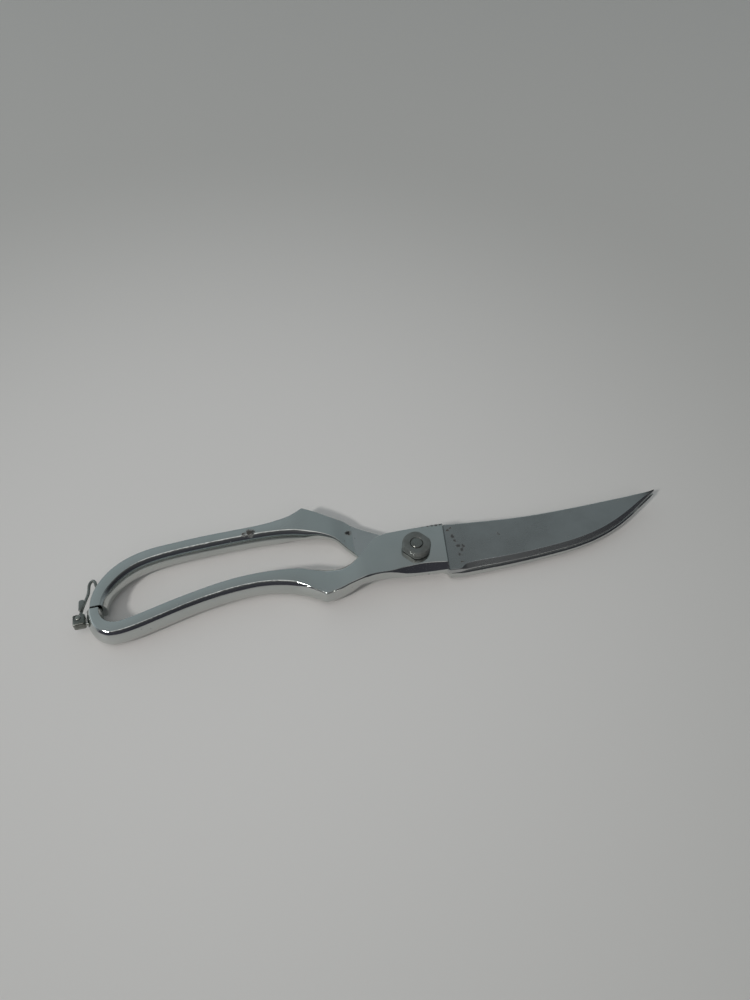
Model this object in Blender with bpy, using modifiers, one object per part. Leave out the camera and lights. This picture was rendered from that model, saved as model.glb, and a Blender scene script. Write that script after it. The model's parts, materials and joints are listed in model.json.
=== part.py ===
"""Poultry shears, closed and latched: two forged halves that cross at a bolted pivot.

The frame has +X toward the blade tips and +Z up from the table. Lengths below are in
millimetres from the pivot axis, and PIVOT_X and PIVOT_Y place that axis in the part frame.
The lower half is modelled upside down and turned over about X, because both halves are the
same kind of forging: a handle, a shank, half of the lap joint and a blade.
"""
import math
from collections import namedtuple

import bmesh
import bpy
from mathutils import Vector

MM = 0.001
PIVOT_X = 11.8
PIVOT_Y = -10.475

# Lap joint
JOINT_HEIGHT = 11.5
JOINT_GAP = 0.3
LAP = (JOINT_HEIGHT + JOINT_GAP) / 2
UNDERCUT = (3.6, 4.4)

# Blades
BLADE_FALL = 0.38
BEVEL_SLOPE = 0.72
EDGE_LAND = 0.2
EDGE_ROUND = (0.12, 0.12)
SPINE_LIP = (0.6, 0.7)
SPINE_ROUND = (0.2, 0.25)
TIP_LIP = (0.15, 0.2)

# Handles
HANDLE_TOP = 10.0
HANDLE_BOTTOM = JOINT_HEIGHT - HANDLE_TOP
HANDLE_ROUND = (1.0, 3.0)
WIDE_ROUND = (2.2, 3.9)
ROUND_SOFTNESS = 0.55
SPAN_STEPS = 2
CORNER_STEPS = 3

# Pivot
SHANK_RADIUS = 3.4
BORE_RADIUS = SHANK_RADIUS + 0.05
THREAD_RADIUS = 2.3
THREAD_TOP = 15.5
HEAD_RADIUS = 4.5
HEAD_BOTTOM = 0.3
HEAD_TOP = 1.9
HEAD_GAP = 0.3
SLOT_WIDTH = 1.2
SLOT_DEPTH = 0.8
NUT_RADIUS = 5.9
NUT_HEIGHT = 3.5
NUT_FLAT = 5.0
NUT_ANGLE = math.radians(36)
KEY_RADIUS = 0.7
KEY_REACH = 4.5
KEY_BOTTOM = 0.6
KEY_TOP = 2.4

# Return spring and the round pocket that hides it
COIL_RADIUS = 5.4
COIL_WIRE = 0.6
COIL_TURNS = 2.6
COIL_POINTS = 14
COIL_CLEARANCE = 0.35
POCKET_RADIUS = 6.7
POCKET_LOW = LAP - JOINT_GAP - 2.4
POCKET_HIGH = LAP + 3.5
LEG_LENGTH = 0.9
LEG_HOLE = COIL_WIRE + 0.3

# Catch
CATCH_LEVEL = JOINT_HEIGHT / 2
CATCH_PIN = (-135.2, 2.9)
CATCH_PIN_RADIUS = 0.55
CATCH_RIVET_RADIUS = 1.1
CATCH_PIN_FOOT = 4.4
CATCH_WIRE = 0.6
EYE_RADIUS = 1.3
EYE_HEIGHT = 1.1
KNUCKLE_LOW = (-137.2, -0.5, 4.0)
KNUCKLE_HIGH = (-132.6, 4.4, 7.9)
KNUCKLE_ROUND = 0.7
KNUCKLE_SLOT = 0.85
STUD_RADIUS = 0.7
STUD_Y = 0.45
STUD_ENDS = (-134.6, -129.9)
CATCH_HOLE_END = (-124.9, 12.9)
CATCH_HOLE_ANGLE = math.radians(138)
CATCH_HOLE_RADIUS = 1.15
TAB_BOTTOM = CATCH_LEVEL + CATCH_WIRE + 0.3
TAB_THICKNESS = 0.7

# Bone notch in the lower blade
NOTCH_CENTRE = (25.0, 7.4)
NOTCH_RADIUS = 3.4

Section = namedtuple(
    "Section",
    "top bottom fall soft facet_w facet_h outer_w outer_h lip_w lip_h inner_w inner_h")


def handle_section():
    """Flat top and bottom with rounded sides, deeper at the outer top and the inner bottom."""
    return Section(
        HANDLE_TOP, HANDLE_BOTTOM, 0, ROUND_SOFTNESS,
        *WIDE_ROUND, *HANDLE_ROUND, *WIDE_ROUND, *HANDLE_ROUND)


def shank_section(
        top, bottom, facet=(0.6, 0.8), outer=(0.7, 1.0), lip=(0.6, 0.9), inner=(3.4, 4.0)):
    """Bar between the handle and the lap joint, nearly square but for its inner top edge."""
    return Section(top, bottom, 0, ROUND_SOFTNESS, *facet, *outer, *lip, *inner)


def neck_section(top, bottom):
    """Where the rounded handle squares up into the shank."""
    return shank_section(top, bottom, (1.3, 2.4), (1.4, 2.6), WIDE_ROUND, (2.2, 3.6))


def joint_section(facet=(2.2, 3.3), inner=(0.4, 0.5)):
    """Upper layer of the lap joint, with a sloping facet on its outer side."""
    return Section(JOINT_HEIGHT, LAP, 0, 0, *facet, 0.4, 0.4, 0.4, 0.4, *inner)


def blade_section(thickness, bevel, lip=SPINE_LIP):
    """Wedge with a flat inner face, a thick spine and a ground bevel at the outer edge."""
    fall = BLADE_FALL * thickness
    bevel_height = min(BEVEL_SLOPE * bevel, thickness - fall - EDGE_LAND)
    return Section(
        LAP + thickness, LAP, fall, 0, bevel, bevel_height, *EDGE_ROUND, *lip, *SPINE_ROUND)


def upper_rows():
    """Stations of the upper half: outer point, inner point, section, and corner or not."""
    grip = handle_section()
    return [
        ((-132.2, 4.4), (-126.1, 4.4), grip, False),
        ((-131.9, 0.6), (-125.8, 1.4), grip, False),
        ((-130.7, -3.6), (-124.5, -1.0), grip, False),
        ((-128.2, -7.1), (-122.4, -2.5), grip, False),
        ((-124.4, -9.3), (-119.8, -3.0), grip, False),
        ((-119.2, -9.6), (-116.6, -2.5), grip, False),
        ((-112.0, -8.5), (-110.4, -1.2), grip, False),
        ((-103.0, -6.4), (-101.3, 1.0), grip, False),
        ((-93.0, -4.1), (-91.8, 3.0), grip, False),
        ((-83.0, -2.4), (-82.3, 4.7), grip, False),
        ((-73.5, -1.5), (-73.2, 5.7), grip, False),
        ((-65.0, -1.5), (-64.5, 5.8), grip, False),
        ((-57.5, -2.7), (-56.0, 5.2), grip, False),
        ((-51.0, -4.9), (-49.0, 4.2), grip, False),
        ((-45.4, -8.1), (-43.0, 3.0), neck_section(10.05, 1.8), False),
        ((-40.0, -11.9), (-37.5, 1.7), shank_section(10.2, 2.8, (0.6, 0.8), (0.9, 1.6), (2.2, 3.2)), True),
        ((-34.0, -10.9), (-32.5, 0.9), shank_section(10.5, 3.0, lip=(1.0, 1.4)), False),
        ((-29.0, -9.6), (-28.4, 0.8), shank_section(10.9, 3.6, inner=(2.4, 3.0)), False),
        ((-24.8, -8.8), (-25.0, 1.6), shank_section(11.3, LAP, lip=(0.4, 0.6), inner=(1.0, 1.4)), False),
        ((-21.5, -8.3), (-22.6, 3.0), joint_section((0.5, 0.7)), False),
        ((-19.0, -8.15), (-20.6, 5.0), joint_section((0.4, 0.5)), False),
        ((-16.5, -8.2), (-18.4, 7.2), joint_section((0.4, 0.5)), False),
        ((-14.0, -8.5), (-15.8, 9.2), joint_section((0.5, 0.6)), False),
        ((-11.0, -8.95), (-12.4, 10.3), joint_section((0.9, 1.15)), False),
        ((-6.0, -9.7), (-7.6, 10.6), joint_section((1.9, 2.7)), False),
        ((2.0, -10.4), (2.0, 10.3), joint_section((2.4, 3.5)), False),
        ((10.3, -11.5), (14.2, 9.8), joint_section((2.0, 2.8)), True),
        ((11.1, -11.9), (15.0, 9.9), blade_section(4.0, 0.3), True),
        ((15.5, -12.3), (18.5, 9.4), blade_section(3.8, 0.35), False),
        ((18.6, -12.1), (21.4, 9.1), blade_section(3.75, 1.8), False),
        ((24.0, -12.0), (26.5, 8.55), blade_section(3.6, 1.95), False),
        ((35.0, -12.3), (37.0, 7.45), blade_section(3.3, 1.9), False),
        ((46.0, -12.3), (47.0, 6.6), blade_section(3.05, 1.85), False),
        ((57.0, -11.9), (57.0, 6.1), blade_section(2.9, 1.85), False),
        ((68.0, -11.05), (67.5, 5.95), blade_section(2.75, 1.85), False),
        ((79.0, -9.0), (78.0, 5.95), blade_section(2.6, 1.8), False),
        ((89.0, -5.75), (88.0, 6.1), blade_section(2.45, 1.8), False),
        ((98.0, -1.5), (97.5, 6.25), blade_section(2.3, 1.6), False),
        ((105.8, 2.9), (105.0, 6.55), blade_section(2.1, 1.1), False),
        ((110.5, 5.5), (110.0, 6.95), blade_section(1.8, 0.5), False),
        ((113.6, 7.1), (113.4, 7.55), blade_section(1.5, 0.1, TIP_LIP), False),
    ]


def lower_rows():
    """Stations of the lower half before it is turned over, in the same order."""
    grip = handle_section()
    return [
        ((-130.9, -5.2), (-124.3, -5.2), grip, False),
        ((-130.4, -8.9), (-123.6, -7.9), grip, False),
        ((-128.9, -13.0), (-122.0, -11.0), grip, False),
        ((-126.1, -17.4), (-119.2, -14.2), grip, False),
        ((-121.6, -21.9), (-115.5, -17.2), grip, False),
        ((-115.0, -25.7), (-110.9, -19.6), grip, False),
        ((-106.4, -28.1), (-104.2, -21.3), grip, False),
        ((-96.0, -28.9), (-95.2, -22.2), grip, False),
        ((-84.0, -29.4), (-84.0, -22.6), grip, False),
        ((-72.0, -29.4), (-72.0, -22.7), grip, False),
        ((-62.0, -29.4), (-62.0, -22.5), grip, False),
        ((-54.0, -30.0), (-54.0, -21.9), grip, False),
        ((-47.5, -31.6), (-48.0, -21.0), neck_section(9.9, 1.6), False),
        ((-41.2, -34.0), (-42.5, -19.7), shank_section(9.7, 2.0, lip=(2.0, 2.9)), True),
        ((-36.0, -31.0), (-37.0, -18.6), shank_section(9.6, 2.4, lip=(1.0, 1.4)), False),
        ((-30.3, -27.3), (-31.0, -15.4), shank_section(9.4, 3.2, inner=(4.4, 4.8)), False),
        ((-24.9, -24.9), (-26.8, -10.8), shank_section(10.9, 5.2, lip=(0.4, 0.6), inner=(3.2, 3.8)), True),
        ((-22.4, -22.0), (-23.9, -7.0), joint_section((0.8, 1.5), (2.6, 3.6)), True),
        ((-18.8, -19.3), (-20.8, -2.6), joint_section((1.0, 2.0), UNDERCUT), False),
        ((-14.4, -16.3), (-17.8, 1.2), joint_section((1.2, 2.6), UNDERCUT), False),
        ((-9.5, -13.4), (-14.0, 4.6), joint_section((1.5, 2.8), UNDERCUT), False),
        ((-4.0, -11.6), (-9.0, 7.2), joint_section((1.8, 3.0), UNDERCUT), False),
        ((3.0, -10.8), (-1.0, 8.7), joint_section(inner=UNDERCUT), False),
        ((9.0, -10.4), (8.0, 9.9), joint_section(inner=UNDERCUT), False),
        ((13.6, -9.9), (11.6, 11.2), joint_section(inner=(2.6, 3.6)), True),
        ((14.4, -9.3), (12.4, 11.6), blade_section(4.0, 0.3), True),
        ((18.0, -8.85), (17.0, 12.5), blade_section(3.8, 0.35), False),
        ((21.0, -8.45), (20.5, 12.7), blade_section(3.7, 1.8), False),
        ((27.0, -7.8), (27.0, 12.85), blade_section(3.6, 1.95), False),
        ((37.0, -6.6), (37.0, 13.05), blade_section(3.3, 1.9), False),
        ((47.0, -5.9), (47.0, 12.95), blade_section(3.05, 1.85), False),
        ((57.0, -5.2), (57.0, 12.65), blade_section(2.9, 1.85), False),
        ((68.0, -5.0), (68.0, 11.85), blade_section(2.75, 1.85), False),
        ((78.0, -5.0), (79.0, 9.85), blade_section(2.6, 1.8), False),
        ((88.0, -5.15), (89.0, 6.6), blade_section(2.45, 1.8), False),
        ((97.5, -5.3), (98.0, 2.35), blade_section(2.3, 1.6), False),
        ((105.0, -5.6), (105.8, -2.05), blade_section(2.1, 1.1), False),
        ((110.0, -6.0), (110.5, -4.7), blade_section(1.8, 0.5), False),
        ((113.0, -6.7), (113.2, -6.3), blade_section(1.5, 0.1, TIP_LIP), False),
    ]


def corner(start, turn, end, soft):
    """Points from start to end round the point turn: straight at soft 0, elliptical at 1."""
    points = []
    for step in range(CORNER_STEPS + 1):
        share = step / CORNER_STEPS
        angle = share * math.pi / 2
        # The ellipse is centred opposite the turn point.
        centre = start + end - turn
        arc = centre + (start - centre) * math.cos(angle) + (end - centre) * math.sin(angle)
        straight = start.lerp(end, share)
        points.append(straight.lerp(arc, soft))
    return points


def section_ring(outer, inner, section):
    """Closed ring of points in the upright plane through a station's outer and inner point."""
    span = Vector((inner[0] - outer[0], inner[1] - outer[1]))
    width = span.length
    span.normalize()
    outer_top = section.top - section.fall
    facet_top = outer_top + section.fall * section.facet_w / width
    low, high = section.bottom, section.top
    profile = corner(
        Vector((section.facet_w, facet_top)), Vector((0, facet_top)),
        Vector((0, outer_top - section.facet_h)), section.soft)
    profile += corner(
        Vector((0, low + section.outer_h)), Vector((0, low)),
        Vector((section.outer_w, low)), section.soft)
    profile += corner(
        Vector((width - section.lip_w, low)), Vector((width, low)),
        Vector((width, low + section.lip_h)), section.soft)
    profile += corner(
        Vector((width, high - section.inner_h)), Vector((width, high)),
        Vector((width - section.inner_w, high)), section.soft)
    return [Vector((outer[0] + span.x * u, outer[1] + span.y * u, z)) for u, z in profile]


def tangents(points, corners, stations):
    """One-sided tangents at corners and the ends, centred ones elsewhere."""
    before, after = [], []
    last = len(points) - 1
    for index, point in enumerate(points):
        back = max(index - 1, 0)
        ahead = min(index + 1, last)
        centred = (points[ahead] - points[back]) / (stations[ahead] - stations[back])
        left = (point - points[back]) / max(stations[index] - stations[back], 1e-9)
        right = (points[ahead] - point) / max(stations[ahead] - stations[index], 1e-9)
        before.append(left if corners[index] and index > 0 else centred)
        after.append(right if corners[index] and index < last else centred)
    return before, after


def hermite(start, end, leave, arrive, length, share):
    """Cubic between two points with the given end tangents."""
    square, cube = share ** 2, share ** 3
    return (
        start * (2 * cube - 3 * square + 1) + end * (3 * square - 2 * cube)
        + leave * (length * (cube - 2 * square + share)) + arrive * (length * (cube - square)))


def smooth_rows(rows, steps):
    """Stations with extra ones between them on smooth curves through the outline points."""
    outer = [Vector(row[0]) for row in rows]
    inner = [Vector(row[1]) for row in rows]
    corners = [row[3] for row in rows]
    stations = [0.0]
    for index in range(1, len(rows)):
        chord = (outer[index] - outer[index - 1]).length + (inner[index] - inner[index - 1]).length
        stations.append(stations[-1] + chord / 2)
    outer_before, outer_after = tangents(outer, corners, stations)
    inner_before, inner_after = tangents(inner, corners, stations)
    result = []
    for index in range(len(rows) - 1):
        length = stations[index + 1] - stations[index]
        count = 1 if corners[index] and corners[index + 1] else steps
        for step in range(count):
            share = step / count
            section = Section(*(
                a + (b - a) * share for a, b in zip(rows[index][2], rows[index + 1][2])))
            result.append((
                hermite(outer[index], outer[index + 1], outer_after[index],
                        outer_before[index + 1], length, share),
                hermite(inner[index], inner[index + 1], inner_after[index],
                        inner_before[index + 1], length, share),
                section))
    result.append((outer[-1], inner[-1], rows[-1][2]))
    return result


def new_collection(name, hidden=False):
    """Collection linked to the scene."""
    collection = bpy.data.collections.new(name)
    bpy.context.scene.collection.children.link(collection)
    collection.hide_render = hidden
    return collection


def make_material(name, colour, metallic, roughness):
    """Principled material."""
    material = bpy.data.materials.new(name)
    material.use_nodes = True
    shader = material.node_tree.nodes["Principled BSDF"]
    shader.inputs["Base Color"].default_value = (*colour, 1)
    shader.inputs["Metallic"].default_value = metallic
    shader.inputs["Roughness"].default_value = roughness
    return material


def chrome_plate():
    return make_material("chrome_plate", (0.74, 0.76, 0.77), 1, 0.14)


def bolt_steel():
    return make_material("bolt_steel", (0.52, 0.53, 0.52), 1, 0.34)


def spring_steel():
    return make_material("spring_steel", (0.30, 0.31, 0.33), 1, 0.38)


def catch_steel():
    return make_material("catch_steel", (0.44, 0.45, 0.41), 1, 0.36)


def place(obj, collection, material, smooth_angle=35):
    """Put a mesh object in its collection with its material and shading."""
    for holder in list(obj.users_collection):
        holder.objects.unlink(obj)
    collection.objects.link(obj)
    if material is not None:
        obj.data.materials.clear()
        obj.data.materials.append(material)
    obj.data.shade_smooth()
    obj.data.set_sharp_from_angle(angle=math.radians(smooth_angle))
    return obj


def set_on_axis(obj, axis):
    """Place an object modelled from the pivot axis, with its origin on the given axis."""
    shift = Vector((*axis, 0)) * MM
    for vertex in obj.data.vertices:
        vertex.co -= shift
    obj.location = Vector((PIVOT_X, PIVOT_Y, 0)) * MM + shift


def mesh_object(name, mesh_builder, collection, material):
    """Object from a bmesh that is built in millimetres."""
    mesh = bpy.data.meshes.new(name)
    bm = bmesh.new()
    mesh_builder(bm)
    bmesh.ops.scale(bm, vec=(MM, MM, MM), verts=bm.verts)
    bmesh.ops.recalc_face_normals(bm, faces=bm.faces)
    bm.to_mesh(mesh)
    bm.free()
    return place(bpy.data.objects.new(name, mesh), collection, material)


def forging(name, rows, collection, material):
    """Solid lofted through the stations, closed at both ends."""
    def build(bm):
        rings = []
        for outer, inner, section in smooth_rows(rows, SPAN_STEPS):
            rings.append([bm.verts.new(point) for point in section_ring(outer, inner, section)])
        count = len(rings[0])
        for first, second in zip(rings, rings[1:]):
            for index in range(count):
                follow = (index + 1) % count
                bm.faces.new((first[index], first[follow], second[follow], second[index]))
        bm.faces.new(rings[0])
        bm.faces.new(list(reversed(rings[-1])))
    return mesh_object(name, build, collection, material)


def turned(name, profile, collection, material, segments=40):
    """Solid turned about Z: the profile runs down the outer side from the axis to the axis."""
    mesh = bpy.data.meshes.new(name)
    points = [(radius * MM, 0, height * MM) for radius, height in profile]
    mesh.from_pydata(points, [(i, i + 1) for i in range(len(points) - 1)], [])
    obj = bpy.data.objects.new(name, mesh)
    collection.objects.link(obj)
    screw = obj.modifiers.new("turn", "SCREW")
    screw.steps = segments
    screw.render_steps = segments
    screw.use_merge_vertices = True
    screw.merge_threshold = 0.00001
    screw.use_smooth_shade = True
    if material is not None:
        obj.data.materials.append(material)
    return obj


def baked(obj):
    """Mesh copy of an object as its modifiers leave it; the original is removed."""
    bpy.context.view_layer.update()
    evaluated = obj.evaluated_get(bpy.context.evaluated_depsgraph_get())
    mesh = bpy.data.meshes.new_from_object(evaluated)
    name, matrix = obj.name, obj.matrix_world.copy()
    collection = obj.users_collection[0]
    bpy.data.objects.remove(obj)
    bm = bmesh.new()
    bm.from_mesh(mesh)
    bmesh.ops.remove_doubles(bm, verts=bm.verts, dist=0.000001)
    bmesh.ops.recalc_face_normals(bm, faces=bm.faces)
    bm.to_mesh(mesh)
    bm.free()
    result = bpy.data.objects.new(name, mesh)
    result.matrix_world = matrix
    collection.objects.link(result)
    return result


def cylinder(name, radius, low, high, centre, collection, material=None, segments=32):
    """Upright cylinder between two levels."""
    bottom_and_top = [(0, high), (radius, high), (radius, low), (0, low)]
    obj = baked(turned(name, bottom_and_top, collection, material, segments))
    for vertex in obj.data.vertices:
        vertex.co += Vector((centre[0], centre[1], 0)) * MM
    return obj


def slanted_cylinder(name, radius, start, end, collection, segments=24):
    """Cylinder between two points."""
    axis = Vector(end) - Vector(start)

    def build(bm):
        bmesh.ops.create_cone(
            bm, cap_ends=True, segments=segments, radius1=radius, radius2=radius, depth=axis.length)
        turn = Vector((0, 0, 1)).rotation_difference(axis).to_matrix()
        bmesh.ops.rotate(bm, cent=(0, 0, 0), matrix=turn, verts=bm.verts)
        bmesh.ops.translate(bm, vec=(Vector(start) + Vector(end)) / 2, verts=bm.verts)
    return mesh_object(name, build, collection, None)


def block(name, low, high, collection, material=None):
    """Box between two corners."""
    def build(bm):
        bmesh.ops.create_cube(bm, size=1)
        size = Vector(high) - Vector(low)
        bmesh.ops.scale(bm, vec=size, verts=bm.verts)
        bmesh.ops.translate(bm, vec=(Vector(low) + Vector(high)) / 2, verts=bm.verts)
    return mesh_object(name, build, collection, material)


def cut(obj, cutter, operation="DIFFERENCE"):
    """Exact Boolean of a cutter that stays in the cutters' collection."""
    cutter.hide_render = True
    cutter.display_type = "WIRE"
    boolean = obj.modifiers.new(cutter.name, "BOOLEAN")
    boolean.operation = operation
    boolean.solver = "EXACT"
    boolean.object = cutter


def wire(name, points, radius, collection, material):
    """Round wire along a list of points, as a closed mesh."""
    curve = bpy.data.curves.new(name, "CURVE")
    curve.dimensions = "3D"
    curve.bevel_depth = radius * MM
    curve.bevel_resolution = 2
    curve.use_fill_caps = True
    spline = curve.splines.new("POLY")
    spline.points.add(len(points) - 1)
    for slot, point in zip(spline.points, points):
        slot.co = (*(Vector(point) * MM), 1)
    obj = bpy.data.objects.new(name, curve)
    collection.objects.link(obj)
    return place(baked(obj), collection, material)


def plate(name, outline, bottom, thickness, collection, material):
    """Flat plate with the given outline."""
    curve = bpy.data.curves.new(name, "CURVE")
    curve.dimensions = "2D"
    curve.fill_mode = "BOTH"
    curve.extrude = thickness / 2 * MM
    spline = curve.splines.new("POLY")
    spline.points.add(len(outline) - 1)
    for slot, point in zip(spline.points, outline):
        slot.co = (point[0] * MM, point[1] * MM, 0, 1)
    spline.use_cyclic_u = True
    obj = bpy.data.objects.new(name, curve)
    collection.objects.link(obj)
    result = baked(obj)
    for vertex in result.data.vertices:
        vertex.co.z += (bottom + thickness / 2) * MM
    return place(result, collection, material)


def coil_leg_angle():
    """Direction of the spring's upper leg; the lower leg points along +X."""
    return 2 * math.pi * COIL_TURNS


def spring_path():
    """Centre line of the return spring: a leg down, the turns, and a leg up."""
    low = POCKET_LOW + COIL_CLEARANCE + COIL_WIRE
    high = POCKET_HIGH - COIL_CLEARANCE - COIL_WIRE
    total = round(COIL_TURNS * COIL_POINTS)
    turns = []
    for index in range(total + 1):
        share = index / total
        angle = coil_leg_angle() * share
        turns.append((*leg_position(angle), low + (high - low) * share))
    bend = COIL_WIRE
    back = -bend / COIL_RADIUS
    on = coil_leg_angle() + bend / COIL_RADIUS
    start = leg_position(back)
    end = leg_position(on)
    lower_leg = [(*start, POCKET_LOW - LEG_LENGTH), (*start, low - bend * 0.6)]
    upper_leg = [(*end, high + bend * 0.6), (*end, POCKET_HIGH + LEG_LENGTH)]
    return lower_leg + turns + upper_leg


def leg_position(angle):
    """Plan position of a spring leg at a given angle."""
    return (COIL_RADIUS * math.cos(angle), COIL_RADIUS * math.sin(angle))


def turn_over(obj):
    """Turn the lower half over about X, at the height of the joint."""
    for vertex in obj.data.vertices:
        vertex.co.y = -vertex.co.y
        vertex.co.z = JOINT_HEIGHT * MM - vertex.co.z


def make_upper_half(parts, cutters, material):
    """Near handle, upper layer of the joint and upper blade."""
    obj = forging("upper_half", upper_rows(), parts, material)
    leg = coil_leg_angle() + COIL_WIRE / COIL_RADIUS
    stud_start = (STUD_ENDS[0] - 1, STUD_Y, CATCH_LEVEL)
    stud_end = (STUD_ENDS[1] + 0.3, STUD_Y, CATCH_LEVEL)
    cut(obj, cylinder("upper_bore", BORE_RADIUS, 0, 20, (0, 0), cutters, segments=40))
    cut(obj, cylinder("upper_pocket", POCKET_RADIUS, 0, POCKET_HIGH, (0, 0), cutters, segments=40))
    cut(obj, cylinder("upper_leg_hole", LEG_HOLE, 8, POCKET_HIGH + LEG_LENGTH + 0.3,
                      leg_position(leg), cutters, segments=16))
    cut(obj, slanted_cylinder("upper_stud_hole", STUD_RADIUS + 0.06, stud_start, stud_end, cutters))
    return obj


def make_lower_half(parts, cutters, material):
    """Far handle, lower layer of the joint and lower blade."""
    obj = forging("lower_half", lower_rows(), parts, material)
    turn_over(obj)
    leg = -COIL_WIRE / COIL_RADIUS
    gap = HEAD_GAP
    sink = [(0, HEAD_TOP + gap), (SHANK_RADIUS + gap, HEAD_TOP + gap),
            (HEAD_RADIUS + gap, HEAD_BOTTOM), (HEAD_RADIUS + gap, -1), (0, -1)]
    reach = 8
    hole_start = (*CATCH_HOLE_END, CATCH_LEVEL)
    hole_end = (
        CATCH_HOLE_END[0] + reach * math.cos(CATCH_HOLE_ANGLE),
        CATCH_HOLE_END[1] + reach * math.sin(CATCH_HOLE_ANGLE), CATCH_LEVEL)
    cut(obj, cylinder("lower_bore", BORE_RADIUS, -1, 20, (0, 0), cutters, segments=40))
    cut(obj, cylinder("lower_pocket", POCKET_RADIUS, POCKET_LOW, 20, (0, 0), cutters, segments=40))
    cut(obj, baked(turned("lower_sink", sink, cutters, None)))
    cut(obj, cylinder("lower_leg_hole", LEG_HOLE, POCKET_LOW - LEG_LENGTH - 0.3, 4,
                      leg_position(leg), cutters, segments=16))
    cut(obj, cylinder("lower_key_hole", KEY_RADIUS + 0.05, 0, KEY_TOP + 0.2,
                      (0, KEY_REACH), cutters, segments=16))
    cut(obj, cylinder("bone_notch", NOTCH_RADIUS, -1, 20, NOTCH_CENTRE, cutters, segments=32))
    cut(obj, slanted_cylinder("catch_hole", CATCH_HOLE_RADIUS, hole_start, hole_end, cutters))
    return obj


def make_pivot_bolt(parts, cutters, material):
    """Countersunk slotted head below, plain shank, and threaded end above."""
    profile = [
        (0, THREAD_TOP), (THREAD_RADIUS - 0.4, THREAD_TOP), (THREAD_RADIUS, THREAD_TOP - 0.4),
        (THREAD_RADIUS, JOINT_HEIGHT - 0.2), (SHANK_RADIUS, JOINT_HEIGHT - 0.2),
        (SHANK_RADIUS, HEAD_TOP), (HEAD_RADIUS, HEAD_BOTTOM + 0.4), (HEAD_RADIUS, HEAD_BOTTOM),
        (0, HEAD_BOTTOM)]
    obj = baked(turned("pivot_bolt", profile, parts, material))
    half = SLOT_WIDTH / 2
    cut(obj, block("bolt_slot", (-8, -half, -1), (8, half, HEAD_BOTTOM + SLOT_DEPTH), cutters))
    cut(obj, cylinder("bolt_key_notch", KEY_RADIUS + 0.3, -1, HEAD_TOP + 0.1,
                      (0, KEY_REACH), cutters, segments=16))
    return place(obj, parts, material)


def make_pivot_nut(parts, cutters, material):
    """Round nut with two parallel flats and a bevelled top rim."""
    low = JOINT_HEIGHT + 0.3
    high = low + NUT_HEIGHT
    bore = THREAD_RADIUS + 0.3
    profile = [
        (bore, high), (NUT_RADIUS - 0.5, high), (NUT_RADIUS, high - 0.5), (NUT_RADIUS, low + 0.2),
        (NUT_RADIUS - 0.2, low), (bore, low), (bore, high)]
    obj = baked(turned("pivot_nut", profile, parts, material, 48))
    for side in (0, 1):
        name = f"nut_flat_{side}"
        flat = block(name, (NUT_FLAT, -10, low - 1), (NUT_FLAT + 5, 10, high + 1), cutters)
        flat.rotation_euler = (0, 0, NUT_ANGLE + side * math.pi)
        cut(obj, flat)
    return place(obj, parts, material)


def make_bolt_key(parts, material):
    """Small dowel that keeps the bolt from turning in the lower half."""
    obj = cylinder("bolt_key_pin", KEY_RADIUS, KEY_BOTTOM, KEY_TOP, (0, KEY_REACH), parts, segments=16)
    return place(obj, parts, material)


def make_return_spring(parts, material):
    """Torsion spring round the bolt, closed in by both halves."""
    return wire("return_spring", spring_path(), COIL_WIRE, parts, material)


def make_catch_knuckle(parts, cutters, material):
    """Rounded block on the near handle's end, slotted for the hook's eye."""
    obj = block("catch_knuckle", KNUCKLE_LOW, KNUCKLE_HIGH, parts)
    bevel = obj.modifiers.new("rounding", "BEVEL")
    bevel.width = KNUCKLE_ROUND * MM
    bevel.segments = 3
    slot_low = (-140, CATCH_PIN[1] - EYE_RADIUS - 0.3, CATCH_LEVEL - KNUCKLE_SLOT)
    slot_high = (-133.3, 8, CATCH_LEVEL + KNUCKLE_SLOT)
    top = KNUCKLE_HIGH[2]
    stud_start = (STUD_ENDS[0] - 0.3, STUD_Y, CATCH_LEVEL)
    stud_end = (STUD_ENDS[1], STUD_Y, CATCH_LEVEL)
    cut(obj, block("knuckle_slot", slot_low, slot_high, cutters))
    cut(obj, cylinder("knuckle_pin_hole", CATCH_PIN_RADIUS + 0.06, CATCH_PIN_FOOT - 0.2, 12,
                      CATCH_PIN, cutters, segments=20))
    cut(obj, cylinder("knuckle_recess", CATCH_RIVET_RADIUS + 0.35, top - 0.6, 12,
                      CATCH_PIN, cutters, segments=24))
    cut(obj, slanted_cylinder("knuckle_stud_hole", STUD_RADIUS + 0.06, stud_start, stud_end, cutters))
    return place(obj, parts, material)


def make_catch_stud(parts, material):
    """Stud that holds the knuckle on the outer side of the near handle."""
    start = (STUD_ENDS[0], STUD_Y, CATCH_LEVEL)
    end = (STUD_ENDS[1], STUD_Y, CATCH_LEVEL)
    return place(slanted_cylinder("catch_stud", STUD_RADIUS, start, end, parts), parts, material)


def make_catch_pin(parts, material):
    """Upright pin with a riveted head in the knuckle's recess."""
    top = KNUCKLE_HIGH[2]
    profile = [
        (0, top + 0.1), (CATCH_RIVET_RADIUS * 0.7, top), (CATCH_RIVET_RADIUS, top - 0.3),
        (CATCH_PIN_RADIUS, top - 0.3), (CATCH_PIN_RADIUS, CATCH_PIN_FOOT), (0, CATCH_PIN_FOOT)]
    obj = baked(turned("catch_pin", profile, parts, material, 24))
    for vertex in obj.data.vertices:
        vertex.co += Vector((*CATCH_PIN, 0)) * MM
    return place(obj, parts, material)


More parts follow.
